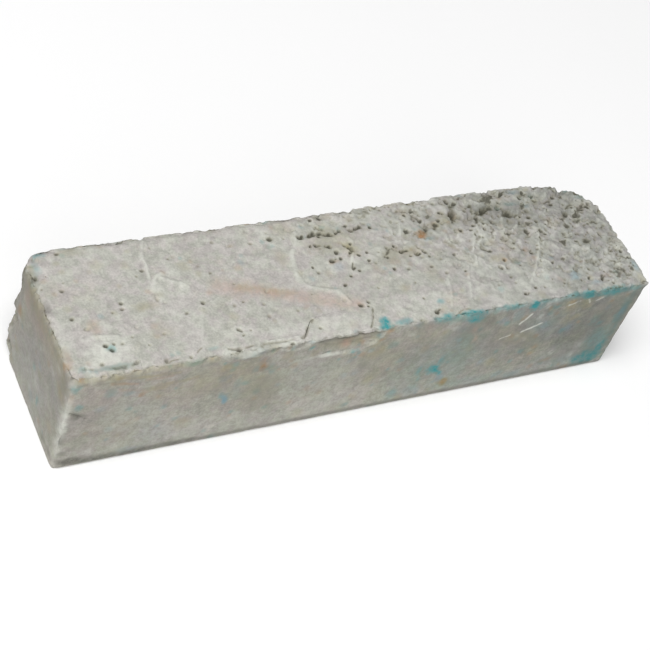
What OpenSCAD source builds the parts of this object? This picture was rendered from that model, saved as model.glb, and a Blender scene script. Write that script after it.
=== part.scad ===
// Long chalk block: a dense cast bar that stands on its widest face, with a hard crust
// on its top face and two flakes of that crust that have cracked loose but still lie in place.
// X runs along the block, Y from the front long side to the back one, Z up.
// The origin is the middle of the underside.

/* [Block] */
// Length over both ends
block_l = 254; // [200:1:320]
// Width across the top face, between the long sides' upper edges
top_w = 61.5; // [50:0.5:80]
// Height from the underside to the top of the crust
block_h = 51; // [40:0.5:70]
// Draft of the long sides, which makes the underside wider than the top
side_draft = 2; // [0:0.5:5]
// Radius of the worn long edges and end edges at the top
top_edge_r = 2; // [0.5:0.25:3]
// Radius of the long edges and end edges at the underside
base_edge_r = 1.2; // [0.5:0.1:3]
// Radius of the four upright edges
upright_edge_r = 2.5; // [1:0.25:6]

/* [Crust] */
// Thickness of the crust on the top face
crust_t = 4; // [3:0.25:6]
// Width of the cracks round the loose flakes, at their widest
crack_gap = 0.3; // [0.1:0.05:0.8]

/* [Edge flake] */
// Place of the flake's middle along the block, from the origin
edge_flake_x = -18; // [-60:1:60]
// Length of the flake along the front edge
edge_flake_l = 34; // [20:1:60]
// Depth of the flake from the front edge into the top face
edge_flake_d = 11; // [6:0.5:18]

/* [Corner flake] */
// Distance from the left end to the flake's near side
corner_flake_inset = 5; // [4:0.5:20]
// Length of the flake along the front edge
corner_flake_l = 22; // [14:1:40]
// Depth of the flake from the front edge into the top face
corner_flake_d = 14; // [6:0.5:20]

/* [Broken places] */
// Broken back right corner: reach along the length, along the end and down
back_right_break = [18, 21, 28]; // [3:0.5:40]
// Broken back left corner: reach along the length, along the end and down
back_left_break = [9, 7, 44]; // [3:0.5:44]
// Chipped front left corner: reach along the length, along the end and down
front_left_break = [4, 3.5, 9]; // [3:0.5:12]
// Length of the spalled groove under the edge flake
groove_l = 38; // [20:1:60]
// Depth of the groove into the front side
groove_depth = 1.4; // [0.5:0.1:2.5]
// Height of the groove's round section
groove_h = 8; // [3:0.5:10]

/* [Hidden] */
$fn = 96;

base_w = top_w + 2 * block_h * tan(side_draft); // width of the underside
crust_seat_z = block_h - crust_t;               // the crust parts from the body at this height
front_y = -top_w / 2;                           // upper edge of the front side
corner_flake_x = -block_l / 2 + corner_flake_inset + corner_flake_l / 2; // middle of that flake
past = 5;                                       // how far a cutting shape runs past what it cuts
arc_steps = 6;                                  // flats along each rounded edge

// Points of a rounded corner at p, between the edges that run to a and b.
function corner_arc(a, p, b, r) =
    let (u = (a - p) / norm(a - p),
         v = (b - p) / norm(b - p),
         half = acos(u * v) / 2,
         middle = p + (u + v) / norm(u + v) * r / sin(half),
         from = p + u * r / tan(half) - middle,
         turn = (180 - 2 * half) * sign(u[0] * v[1] - u[1] * v[0]))
    [for (i = [0:arc_steps])
        let (t = -turn * i / arc_steps)
        middle + [from[0] * cos(t) - from[1] * sin(t), from[0] * sin(t) + from[1] * cos(t)]];

// Outline of points whose corners are rounded, each by its own radius.
function rounded(points, radii) =
    let (n = len(points))
    [for (i = [0:n - 1])
        each corner_arc(points[(i + n - 1) % n], points[i], points[(i + 1) % n], radii[i])];

// Section across the block, with Y to the right and Z up.
section = rounded(
    [[-base_w / 2, 0], [base_w / 2, 0], [top_w / 2, block_h], [-top_w / 2, block_h]],
    [base_edge_r, base_edge_r, top_edge_r, top_edge_r]);

// Profile along the block, with X to the right and Z up.
profile = rounded(
    [[-block_l / 2, 0], [block_l / 2, 0], [block_l / 2, block_h], [-block_l / 2, block_h]],
    [base_edge_r, base_edge_r, top_edge_r, top_edge_r]);

// Plan of the block, seen from above.
plan = rounded(
    [[-block_l / 2, -base_w / 2], [block_l / 2, -base_w / 2],
     [block_l / 2, base_w / 2], [-block_l / 2, base_w / 2]],
    [upright_edge_r, upright_edge_r, upright_edge_r, upright_edge_r]);

// The bar as it left its mould, with every edge worn round.
module whole_bar() {
    intersection() {
        rotate([90, 0, 90])
            translate([0, 0, -block_l / 2 - past])
                linear_extrude(block_l + 2 * past) polygon(section);
        rotate([90, 0, 0])
            translate([0, 0, -base_w / 2 - past])
                linear_extrude(base_w + 2 * past) polygon(profile);
        translate([0, 0, -past])
            linear_extrude(block_h + 2 * past) polygon(plan);
    }
}

// Cutting block for a broken top corner. end is -1 or 1 for the left or right end, side is
// -1 or 1 for the front or back. The break reaches reach[0] along the length, reach[1] along
// the end and reach[2] down from the corner.
module corner_break(end, side, reach) {
    corner = [end * block_l / 2, side * top_w / 2, block_h];
    normal = [end / reach[0], side / reach[1], 1 / reach[2]];
    slope = acos(normal[2] / norm(normal));
    heading = atan2(normal[1], normal[0]);
    size = 2 * max(reach);
    translate(corner - [end * reach[0], 0, 0])
        rotate([0, slope, heading])
            translate([-size, -size, 0]) cube([2 * size, 2 * size, size]);
}

// Ring that cuts the long shallow groove into the front side, just under the crust.
module edge_groove() {
    reach = (pow(groove_l, 2) / 4 + pow(groove_depth, 2)) / (2 * groove_depth);
    groove_z = crust_seat_z - groove_h / 2;
    wall_y = front_y - (block_h - groove_z) * tan(side_draft);
    translate([edge_flake_x, wall_y + groove_depth - reach, groove_z])
        rotate_extrude()
            translate([reach - groove_h / 2, 0]) circle(d = groove_h);
}

// The bar with its corners broken off.
module worn_bar() {
    difference() {
        whole_bar();
        corner_break(1, 1, back_right_break);
        corner_break(-1, 1, back_left_break);
        corner_break(-1, -1, front_left_break);
    }
}

// Everything above the height where the crust parts from the body.
module crust_layer() {
    translate([-block_l / 2 - past, -base_w / 2 - past, crust_seat_z])
        cube([block_l + 2 * past, base_w + 2 * past, crust_t + past]);
}

// Jagged outline of a flake of length l and depth d, whose middle is at x. Each share is a
// corner of the crack, across the flake's length and depth.
module flake_outline(x, l, d, shares) {
    outer_y = -base_w / 2 - past;
    translate([x - l / 2, 0])
        polygon(concat(
            [[shares[0][0] * l, outer_y]],
            [for (s = shares) [s[0] * l, front_y + s[1] * d]],
            [[shares[len(shares) - 1][0] * l, outer_y]]));
}

// Corners of the two cracks.
edge_flake_shares = [[0, 0], [0.03, 0.28], [0.15, 0.7], [0.3, 0.88], [0.62, 1],
                     [0.9, 0.93], [1, 0.75], [0.94, 0.4], [0.85, 0]];
corner_flake_shares = [[0.02, 0], [0, 0.3], [0.18, 0.82], [0.5, 1], [0.85, 0.86], [1, 0.45],
                       [0.97, 0]];

// Dense cast body, up to the crust.
module block_body() {
    color("darkgray")
        difference() {
            worn_bar();
            crust_layer();
            edge_groove();
        }
}

// Hard crust on the top face, open where the two flakes lie.
module top_crust() {
    color("gainsboro")
        difference() {
            intersection() {
                worn_bar();
                crust_layer();
            }
            translate([0, 0, crust_seat_z - past])
                linear_extrude(crust_t + 2 * past) {
                    flake_outline(edge_flake_x, edge_flake_l, edge_flake_d, edge_flake_shares);
                    flake_outline(corner_flake_x, corner_flake_l, corner_flake_d,
                                  corner_flake_shares);
                }
        }
}

// One loose flake of the crust, about a crack's width inside its opening.
module flake(x, l, d, shares) {
    intersection() {
        worn_bar();
        translate([0, 0, crust_seat_z])
            linear_extrude(crust_t + past)
                flake_outline(x, l - 2 * crack_gap, d - crack_gap, shares);
    }
}

// Loose flake at the front edge, over the groove.
module edge_flake() {
    color("whitesmoke") flake(edge_flake_x, edge_flake_l, edge_flake_d, edge_flake_shares);
}

// Loose flake near the front left corner.
module corner_flake() {
    color("white") flake(corner_flake_x, corner_flake_l, corner_flake_d, corner_flake_shares);
}

block_body();
top_crust();
edge_flake();
corner_flake();
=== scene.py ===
import math
from contextlib import contextmanager

import bpy
import numpy as np
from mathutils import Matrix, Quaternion, Vector, kdtree


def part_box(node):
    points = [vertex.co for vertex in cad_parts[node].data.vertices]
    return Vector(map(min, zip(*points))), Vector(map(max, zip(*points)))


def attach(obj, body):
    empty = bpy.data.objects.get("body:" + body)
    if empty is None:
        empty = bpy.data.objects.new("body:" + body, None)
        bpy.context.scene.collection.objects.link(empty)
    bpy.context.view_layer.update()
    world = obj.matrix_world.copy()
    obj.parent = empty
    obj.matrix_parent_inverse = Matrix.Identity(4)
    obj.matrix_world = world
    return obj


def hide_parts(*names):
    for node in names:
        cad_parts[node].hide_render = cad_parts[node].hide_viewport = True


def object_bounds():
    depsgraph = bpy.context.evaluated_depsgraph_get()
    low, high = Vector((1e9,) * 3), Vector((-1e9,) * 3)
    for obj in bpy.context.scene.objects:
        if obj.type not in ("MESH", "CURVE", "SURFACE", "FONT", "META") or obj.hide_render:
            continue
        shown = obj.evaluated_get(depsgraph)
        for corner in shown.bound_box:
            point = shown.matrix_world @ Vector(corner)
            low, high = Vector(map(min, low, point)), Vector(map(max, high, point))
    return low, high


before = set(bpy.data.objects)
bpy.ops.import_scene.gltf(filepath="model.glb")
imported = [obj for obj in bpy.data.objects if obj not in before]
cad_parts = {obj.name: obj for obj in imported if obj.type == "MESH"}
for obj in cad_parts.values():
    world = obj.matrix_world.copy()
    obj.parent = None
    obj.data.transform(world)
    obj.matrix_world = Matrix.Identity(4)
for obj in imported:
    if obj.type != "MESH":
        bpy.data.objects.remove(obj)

bl_info = {
    "name": "Chalk Block",
    "version": (1, 0, 0),
    "blender": (4, 5, 0),
    "location": "3D View > Sidebar > Chalk Block",
    "description": "Casts, wears and stains a long gymnastics chalk block with a cracked crust",
    "category": "Add Mesh",
}

# ---------------------------------------------------------------- the block's frame
# Every place and size below that isn't a property is in millimetres, in the block's own frame:
# X along the block, Y from the front long side to the back one, Z up from the underside.

MM = 0.001
CAD_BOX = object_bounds()
LOW, HIGH = (np.array(corner) / MM for corner in CAD_BOX)
TOP = HIGH[2]
BODY = "root"
# The worn surface stays this far inside the frame's box, and stands on its underside.
BOX_MARGIN = 0.02

CRUST_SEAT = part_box("top_crust")[0][2] / MM
TOP_HALF_WIDTH = -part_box("edge_flake")[0][1] / MM
SIDE_SLOPE = (HIGH[1] - TOP_HALF_WIDTH) / CRUST_SEAT

LATTICE_SIZE = 48
LATTICE = np.random.default_rng(11).uniform(-1.0, 1.0, (LATTICE_SIZE,) * 3)
# Turns noise off the axes, so that no lump lines up with the block's edges.
TURN = np.array(Quaternion((0.8, 0.3, 0.4, 0.33)).normalized().to_matrix())


# The wear below is measured on faces a little larger than this block's, so each face has a
# scale and a shift that carry it over.

def on_top(x, y):
    """A place on the top face."""
    return np.array([0.987 * x - 0.4, 0.988 * y + 1.2, TOP])


def on_front(x, z):
    """A place on the front long side, which slopes outwards as it goes down."""
    x, z = 0.983 * x - 1.9, 0.981 * z + 2.5
    return np.array([x, -(TOP_HALF_WIDTH + (CRUST_SEAT - z) * SIDE_SLOPE), z])


def on_back(x, z):
    """A place on the back long side."""
    return on_front(x, z) * (1, -1, 1)


def on_left(y, z):
    """A place on the left end."""
    return np.array([LOW[0], 0.977 * y - 1, 0.978 * z + 3.6])


def on_right(y, z):
    """A place on the right end."""
    return np.array([HIGH[0], y, z])


# How deep a spot reaches along the surface's normal, so that it takes in worn edges too.
SPOT_DEPTH = 3.0


def top_reach(along, across):
    return np.array([along, across, SPOT_DEPTH])


def side_reach(along, up):
    return np.array([along, SPOT_DEPTH, up])


def end_reach(across, up):
    return np.array([SPOT_DEPTH, across, up])


# ---------------------------------------------------------------- listed wear
# Flakes of the crust: their outlines as seen from above, and the crack's width at each corner.

EDGE_FLAKE = [(-35.4, -34.4), (-35.2, -29.4), (-34.6, -28), (-32.8, -25.7), (-31, -23.3),
              (-29.6, -21.5), (-26, -20.1), (-21, -19.5), (-15, -19.2), (-9, -19), (-4.8, -19.4),
              (-1.8, -20.1), (-2.4, -22.5), (-3.8, -24.7), (-5.2, -26.5), (-6.4, -28.4),
              (-7, -34.4)]
EDGE_FLAKE_CRACK = [0.05, 0.06, 0.15, 0.22, 0.22, 0.15, 0.06, 0.04, 0.04, 0.04, 0.05,
                    0.08, 0.1, 0.1, 0.08, 0.06, 0.05]
CORNER_FLAKE = [(-120.2, -34.4), (-120.4, -28.4), (-120, -22.5), (-118.2, -18), (-115, -15.2),
                (-110.4, -14), (-106, -14.4), (-102.4, -16), (-100, -19.1), (-99.3, -23.5),
                (-99.9, -27.4), (-100.3, -34.4)]
CORNER_FLAKE_CRACK = [0.04, 0.04, 0.04, 0.03, 0.03, 0.03, 0.03, 0.03, 0.03, 0.04, 0.06, 0.06]

# Raised veins on the top: points along each, then its height and its width.
TOP_VEINS = [
    ([(-79.5, 29), (-82, 22), (-83, 14), (-84.5, 6)], 0.4, 1.3),
    ([(-84, 3), (-81.5, 8.5), (-78, 10.5)], 0.5, 1.6),
    ([(-80, 8), (-74, 4.5), (-70, 0.5), (-67, -2)], 0.55, 1.8),
    ([(-69, -9), (-71.5, -15), (-74, -22)], 0.4, 1.4),
    ([(-17, 21), (-20, 15), (-23.5, 9), (-25, 1), (-25, -5), (-20.5, -8.5), (-12, -11),
      (-9.5, -17)], 0.65, 1.9),
    ([(4.5, 14), (7.5, 7), (11.5, 2.5), (14.5, 4.5), (17, 9)], 0.6, 1.6),
    ([(0, 12), (2.5, 6), (0, 1)], 0.45, 1.3),
    ([(54, -8), (57.5, 1), (61.5, 8), (66.5, 14)], 0.7, 1.6),
    ([(59, 0), (63, 5), (66, 9)], 0.4, 1.2),
    ([(74, -21.5), (78, -16.5), (82, -12), (86, -6), (90, 0), (92, 5)], 0.65, 1.6),
    ([(74, 4.5), (77, 10), (79, 16)], 0.5, 1.5),
    ([(85.5, 11), (88.5, 17.5)], 0.55, 1.4),
    ([(112, 3.5), (115.5, 8.5)], 0.6, 1.5),
    ([(95.5, 4.5), (98.5, 8.5)], 0.5, 1.3),
    ([(43, -24), (46, -16), (49.5, -9)], 0.4, 1.3),
    ([(32, -27), (35, -20), (37, -14)], 0.35, 1.3),
    ([(-117.5, -14.8), (-112, -14), (-105, -15.5)], 0.5, 1.5),
    ([(104, 19), (107, 24)], 0.45, 1.3),
    ([(120.5, -19), (123, -25)], 0.35, 1.4),
    ([(88, -6), (91, -2), (94, -3), (95.5, -7)], 0.4, 1.2),
    ([(84, -11), (87.5, -13), (88, -17)], 0.4, 1.2),
    ([(76, 8), (79.5, 6), (83, 8.5)], 0.4, 1.2),
    ([(68, 3), (71, 6), (70, 10), (66.5, 12)], 0.4, 1.2),
    ([(49, 4), (53, 7), (55, 11)], 0.35, 1.2),
    ([(101, -9), (105, -6.5), (109, -8)], 0.35, 1.2),
    ([(99, 12), (102, 15), (106, 14)], 0.4, 1.2),
    ([(24, 10), (28, 13), (30, 18)], 0.4, 1.3),
    ([(17, 12), (21, 9), (26, 9.5)], 0.4, 1.3),
    ([(59, -14), (62, -10), (66, -12)], 0.3, 1.2),
    ([(8, -6), (12, -9), (17, -8)], 0.35, 1.4),
]

# Cracks on the top: points along each, then its depth and its width.
TOP_CRACKS = [
    ([(-66, -29.2), (-62, -29.8), (-57, -29.2), (-49, -29.8), (-41, -30), (-36, -29.8)],
     0.6, 1.1),
    ([(-36, -29.8), (-34.4, -28.8), (-30.6, -24.2), (-28.6, -22.4)], 0.4, 1.6),
    ([(-1.6, -22), (-3.6, -26.4), (-6.2, -30.4)], 0.4, 1.2),
    ([(-122, -27.4), (-117, -28.6), (-110, -29.4), (-104, -29.2), (-101, -28)], 0.4, 1.6),
    ([(-90, -29.8), (-86.5, -29.4)], 0.4, 0.8),
    ([(-78.5, -28.6), (-76, -26.6)], 0.4, 0.9),
    ([(34, -30.5), (37, -29.5), (41, -30)], 0.5, 0.9),
]

# Furrows where pits have run together: points along each, then its depth and its width.
TOP_FURROWS = [
    ([(-16.5, 18.6), (-12, 18.2), (-8, 18.8), (-3, 17.8), (2, 18.6)], 1.2, 2.6),
    ([(5, 20.6), (7.4, 18.4), (12.4, 19.4)], 1.2, 2.2), ([(-14, 13.2), (-9.6, 13)], 1.0, 1.8),
    ([(-7, 12), (-4.4, 10.4), (-4, 7.6)], 1.1, 2.2), ([(-9, 4), (-5.6, 4.6)], 1.0, 2.2),
    ([(1, 11), (3.6, 9.6), (3, 6.6), (1, 4.6)], 1.1, 2.8), ([(0.6, 1), (-0.6, -1.6)], 0.6, 1.4),
    ([(15.6, 2.4), (19, 5.4), (22.4, 7)], 0.7, 1.8),
    ([(21.4, 5), (24, 3.8), (27.6, 4.6)], 1.1, 1.9), ([(30, 1.4), (34.6, 3)], 0.9, 2.0),
    ([(29.6, 14), (33.4, 14)], 0.7, 1.5), ([(38, 15.6), (40.6, 12.8)], 1.1, 2.0),
    ([(35, 24.4), (38.4, 20.6), (39.6, 17.4)], 0.8, 2.2), ([(34.6, 28.8), (43, 28.9)], 1.0, 1.8),
    ([(44.6, 13), (47.4, 15.6), (50.6, 17.4)], 1.1, 2.0), ([(49, 21), (52, 20)], 0.9, 1.8),
    ([(55, 15), (57, 20), (58.4, 25)], 1.0, 2.6), ([(63.6, 10.6), (66.8, 15.6)], 1.0, 1.8),
    ([(66, 19), (67.6, 23)], 0.9, 1.8), ([(69, 18), (72, 19.8), (76.4, 21.2)], 1.4, 2.6),
    ([(68.6, 10.6), (73.6, 12.8)], 1.1, 2.0), ([(78, 20.6), (80, 18.4), (84.6, 15)], 1.3, 3.0),
    ([(83.6, 25.6), (87.4, 28)], 1.0, 2.0), ([(90.6, 22), (94, 24.4)], 1.2, 2.2),
    ([(96, 25), (104.6, 28.2)], 0.9, 2.2), ([(98, 21), (103, 18.4), (108, 19.6)], 0.8, 2.0),
    ([(108.4, 9.6), (112, 11)], 1.2, 2.2), ([(116, 10.6), (120, 13.6), (124, 13.8)], 1.0, 2.2),
    ([(112, 14.6), (116, 15.6)], 0.8, 1.8), ([(118, 7), (122, 4)], 0.7, 1.8),
    ([(96, 6), (99, 4.6)], 0.7, 1.8), ([(61, -1), (64.6, -3.4)], 0.8, 1.8),
    ([(66, -28), (69.6, -26.4)], 1.0, 1.8), ([(106, -26.6), (109, -24.6)], 0.8, 1.4),
    ([(-57.6, -24.6), (-58.8, -20.6)], 0.6, 1.4), ([(22, -29), (26, -27.6)], 0.7, 1.6),
]

# Pits on the top: place, radius and depth.
TOP_PITS = [
    (-118, 8.5, 1.1, 0.9), (-116.5, 12, 0.8, 0.5), (-118.5, -4.8, 1.1, 1.0),
    (-103, -4.6, 0.9, 0.7), (-99, -3.5, 1.0, 0.8), (-125.5, 17, 1.3, 1.0), (-85.5, 12.5, 1.2, 0.9),
    (-88.5, 10.5, 0.8, 0.5), (-67.5, -6, 1.1, 1.0), (-75.5, -10, 1.0, 0.7), (-59, -21, 1.0, 0.9),
    (-58, -24, 0.9, 0.8), (-54.5, -22, 0.8, 0.6), (-52, -9, 1.0, 0.6), (-56, -10, 1.1, 0.5),
    (-121, -27.3, 1.1, 0.5), (-101.5, -28.2, 1.4, 0.6), (-91, -29.4, 1.2, 0.7),
    (-81.5, -30, 1.0, 0.6), (-110.4, -18.8, 1.3, 1.3), (-107.2, -18.4, 1.0, 0.9),
    (-109, -21, 1.2, 1.3), (-53, 21.5, 1.2, 0.5), (-28.5, 19.5, 1.4, 1.2),
    (-94.5, -21.5, 0.8, 0.5), (-99.5, -17, 0.8, 0.5), (-62, -30, 1.3, 1.0), (-63, 11, 0.9, 0.4),
    (-15, 18.5, 1.1, 0.8), (-12, 18, 1.1, 0.8), (-9.5, 19.5, 1.0, 0.9), (-8, 17.5, 0.9, 0.8),
    (-6.3, 19, 0.9, 0.8), (-3, 18, 1.3, 1.0), (0, 18.2, 1.1, 0.9), (2, 18.8, 0.9, 0.7),
    (6, 21, 1.0, 0.8), (7.3, 18, 1.2, 0.9), (9.6, 18.6, 1.0, 0.8), (12, 19.6, 0.9, 0.7),
    (16, 18.4, 1.1, 0.8), (-11, 13, 1.2, 0.9), (-13.5, 13, 0.8, 0.6), (-6, 11.4, 1.4, 1.1),
    (-4, 8.2, 1.4, 1.1), (-7.5, 4, 1.7, 1.1), (-3.4, 4.4, 1.2, 0.7), (2.8, 9, 1.5, 1.1),
    (4, 11.4, 0.9, 0.7), (1.8, 6.6, 1.0, 0.8), (5, 5, 1.0, 0.7), (9, 6, 1.0, 0.7),
    (8, 2, 1.0, 0.6), (0.3, -1, 0.9, 0.6), (1.6, -3, 0.9, 0.6), (-3, -4.6, 0.9, 0.7),
    (-7.5, -8.6, 1.2, 0.8), (-17, 2, 0.9, 0.7), (-23, 18.5, 0.9, 0.5), (-3.2, 27, 1.5, 1.1),
    (-8, 26, 1.0, 0.6), (-5.2, -19.4, 1.4, 1.4), (-1.5, -18.3, 1.1, 1.1), (-2.6, -20.4, 0.8, 0.9),
    (22, 7, 1.0, 0.8), (24, 3.6, 1.2, 1.0), (26.6, 4.2, 0.9, 0.8), (27, 0.6, 0.9, 1.0),
    (34.3, 2.2, 1.4, 1.2), (31.6, 1.2, 0.9, 0.6), (17, -4.6, 1.2, 0.7), (16.6, 2, 1.0, 0.7),
    (31.5, 14, 1.5, 0.9), (40.2, 13.2, 1.4, 1.4), (40, 18, 1.1, 0.8), (38, 24, 1.0, 0.8),
    (34, 22, 1.0, 0.7), (46, 15, 1.4, 1.0), (48.4, 17, 1.2, 0.9), (51, 20.6, 1.1, 0.8),
    (56.4, 19.6, 1.4, 1.1), (55, 15.6, 0.8, 0.7), (57.2, 26, 1.2, 1.0), (60.2, 25, 1.3, 1.1),
    (66.4, 15.4, 1.3, 1.2), (67, 22, 0.9, 0.7), (71.6, 19, 1.7, 1.7), (75.6, 20.2, 1.4, 1.4),
    (72.4, 12.2, 1.4, 1.4), (68, 12, 1.0, 0.8), (67, 9.2, 1.0, 0.8), (82.4, 15.2, 2.2, 1.6),
    (79.2, 19.4, 1.1, 1.0), (81, 22.2, 0.9, 0.7), (85.6, 27, 1.4, 1.1), (80.4, 27, 1.0, 0.8),
    (92.5, 23.2, 1.4, 1.3), (98.4, 22.8, 1.1, 0.9), (96, 26.2, 1.1, 0.9), (103, 28, 1.4, 1.1),
    (109, 21, 1.1, 0.9), (110.4, 10.6, 1.6, 1.5), (106, 17, 1.1, 0.8), (114, 9, 0.9, 0.7),
    (115, 14, 1.0, 0.8), (122.4, 13.2, 1.5, 1.2), (119.5, 12, 1.0, 0.8), (97, 6.8, 0.9, 0.8),
    (86, 5, 1.4, 1.0), (91, 12, 1.1, 0.9), (87, 13, 0.9, 0.8), (94, 2, 1.0, 0.6),
    (77, 5, 1.2, 0.6), (63, 12, 1.0, 0.8), (56, 10, 1.2, 0.7), (63.4, -2.6, 1.2, 0.8),
    (67.6, -8.6, 1.0, 0.7), (82, -6.6, 1.3, 0.7), (89, -14, 1.1, 0.6), (111, -5.6, 2.2, 0.6),
    (124.6, -13.6, 1.2, 1.0), (126.4, -17.4, 1.2, 0.9), (107.6, -26, 1.0, 0.7),
    (101.5, -24.4, 0.9, 0.6), (68, -27, 1.3, 1.2), (74, -24.6, 0.9, 0.6), (24.4, -28.6, 1.4, 0.8),
    (47, -11, 0.8, 0.5), (120, -2.5, 1.2, 0.6),
]

# Bites out of the edges: place, reach along X, Y and Z, and depth.
EDGE_BITES = [
    (on_top(-80, 31), (2.2, 3.5, 5), 1.6), (on_top(-53, 31), (2.6, 3, 4), 1.5),
    (on_top(-46, 31), (3.5, 2.5, 4), 0.9), (on_top(-31, 31), (2.5, 2.5, 4), 1.0),
    (on_top(-9, 31), (2.5, 2.5, 3), 0.8), (on_top(11.5, 31), (2.6, 3.2, 5), 1.8),
    (on_top(39, 31), (4.2, 2, 2.4), 1.3), (on_top(49, 31), (2, 2, 3), 0.7),
    (on_top(64, 31), (2, 2, 3), 0.7), (on_top(105, 31), (3, 3, 3), 1.0),
    (on_top(115.5, 24.5), (4.5, 4, 8), 2.0), (on_top(127, 9.6), (2.6, 2, 3.5), 1.6),
    (on_top(-127, 3), (4, 4, 3), 1.6),
    (on_top(-126, 17), (3, 4, 6), 1.0), (on_top(-127, -10), (3, 5, 3), 0.7),
    (on_top(-124, -31), (6, 3.5, 6), 1.3), (on_top(-97, -32), (4, 2, 2.5), 0.9),
    (on_top(-85, -32), (4, 2, 2.4), 0.9), (on_top(-74, -32), (3, 2.4, 2.4), 1.0),
    (on_top(-60, -33), (7, 2.4, 2.6), 1.0), (on_top(12, -32), (3.4, 2, 2.4), 0.9),
    (on_top(24, -32), (3, 2.4, 2.4), 1.1), (on_top(34, -32), (3.5, 2, 2.5), 1.0),
    (on_top(52, -32), (4, 2, 2), 0.7), (on_top(80, -32), (3, 2.2, 3), 0.9),
    (on_top(94, -32), (3, 2, 2), 0.7),
    (on_left(28, 20.6), (9, 8, 4), 3.4), (on_left(29, 13), (8, 8, 7), 2.0),
    (on_left(28, 34), (9, 8, 9), 1.2), (on_left(28, 50), (8, 6, 4), 0.8),
    (on_right(-30, 8), (2.5, 3, 2), 0.9),
    (on_right(25, 2), (4, 5, 5), 1.2), (on_back(-40, 2), (9, 4, 4), 1.0),
    (on_back(70, 3), (5, 4, 4), 1.2), (on_left(28, 0), (8, 8, 9), 2.2),
]

# The spalled hollow under the edge flake: its lower rim, as heights along the front side, the
# height of the flake's lip over it, and its depth just inside the rim and at its deepest.
HOLLOW_RIM_X = [-37, -33, -29.5, -21.5, -13.5, -8, -4, -1.5, 1]
HOLLOW_RIM_Z = [51.5, 44.8, 41, 40, 39.2, 40.2, 42.8, 46.2, 51.5]
HOLLOW_LIP = 49.4
HOLLOW_STEP = 0.5
HOLLOW_DEPTH = 1.3

# Gouges and one burr on the front side: points along each, depth (negative where the burr stands
# proud) and width.
FRONT_SCORES = [
    ([(-125, 30.5), (-122, 28.5), (-118, 25.6)], 0.7, 2.0),
    ([(-126.4, 16), (-126.6, 10)], 0.5, 1.4),
    ([(-65, 48.4), (-60, 47.4), (-55.5, 47.2), (-52, 49)], -0.7, 2.4),
]

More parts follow.
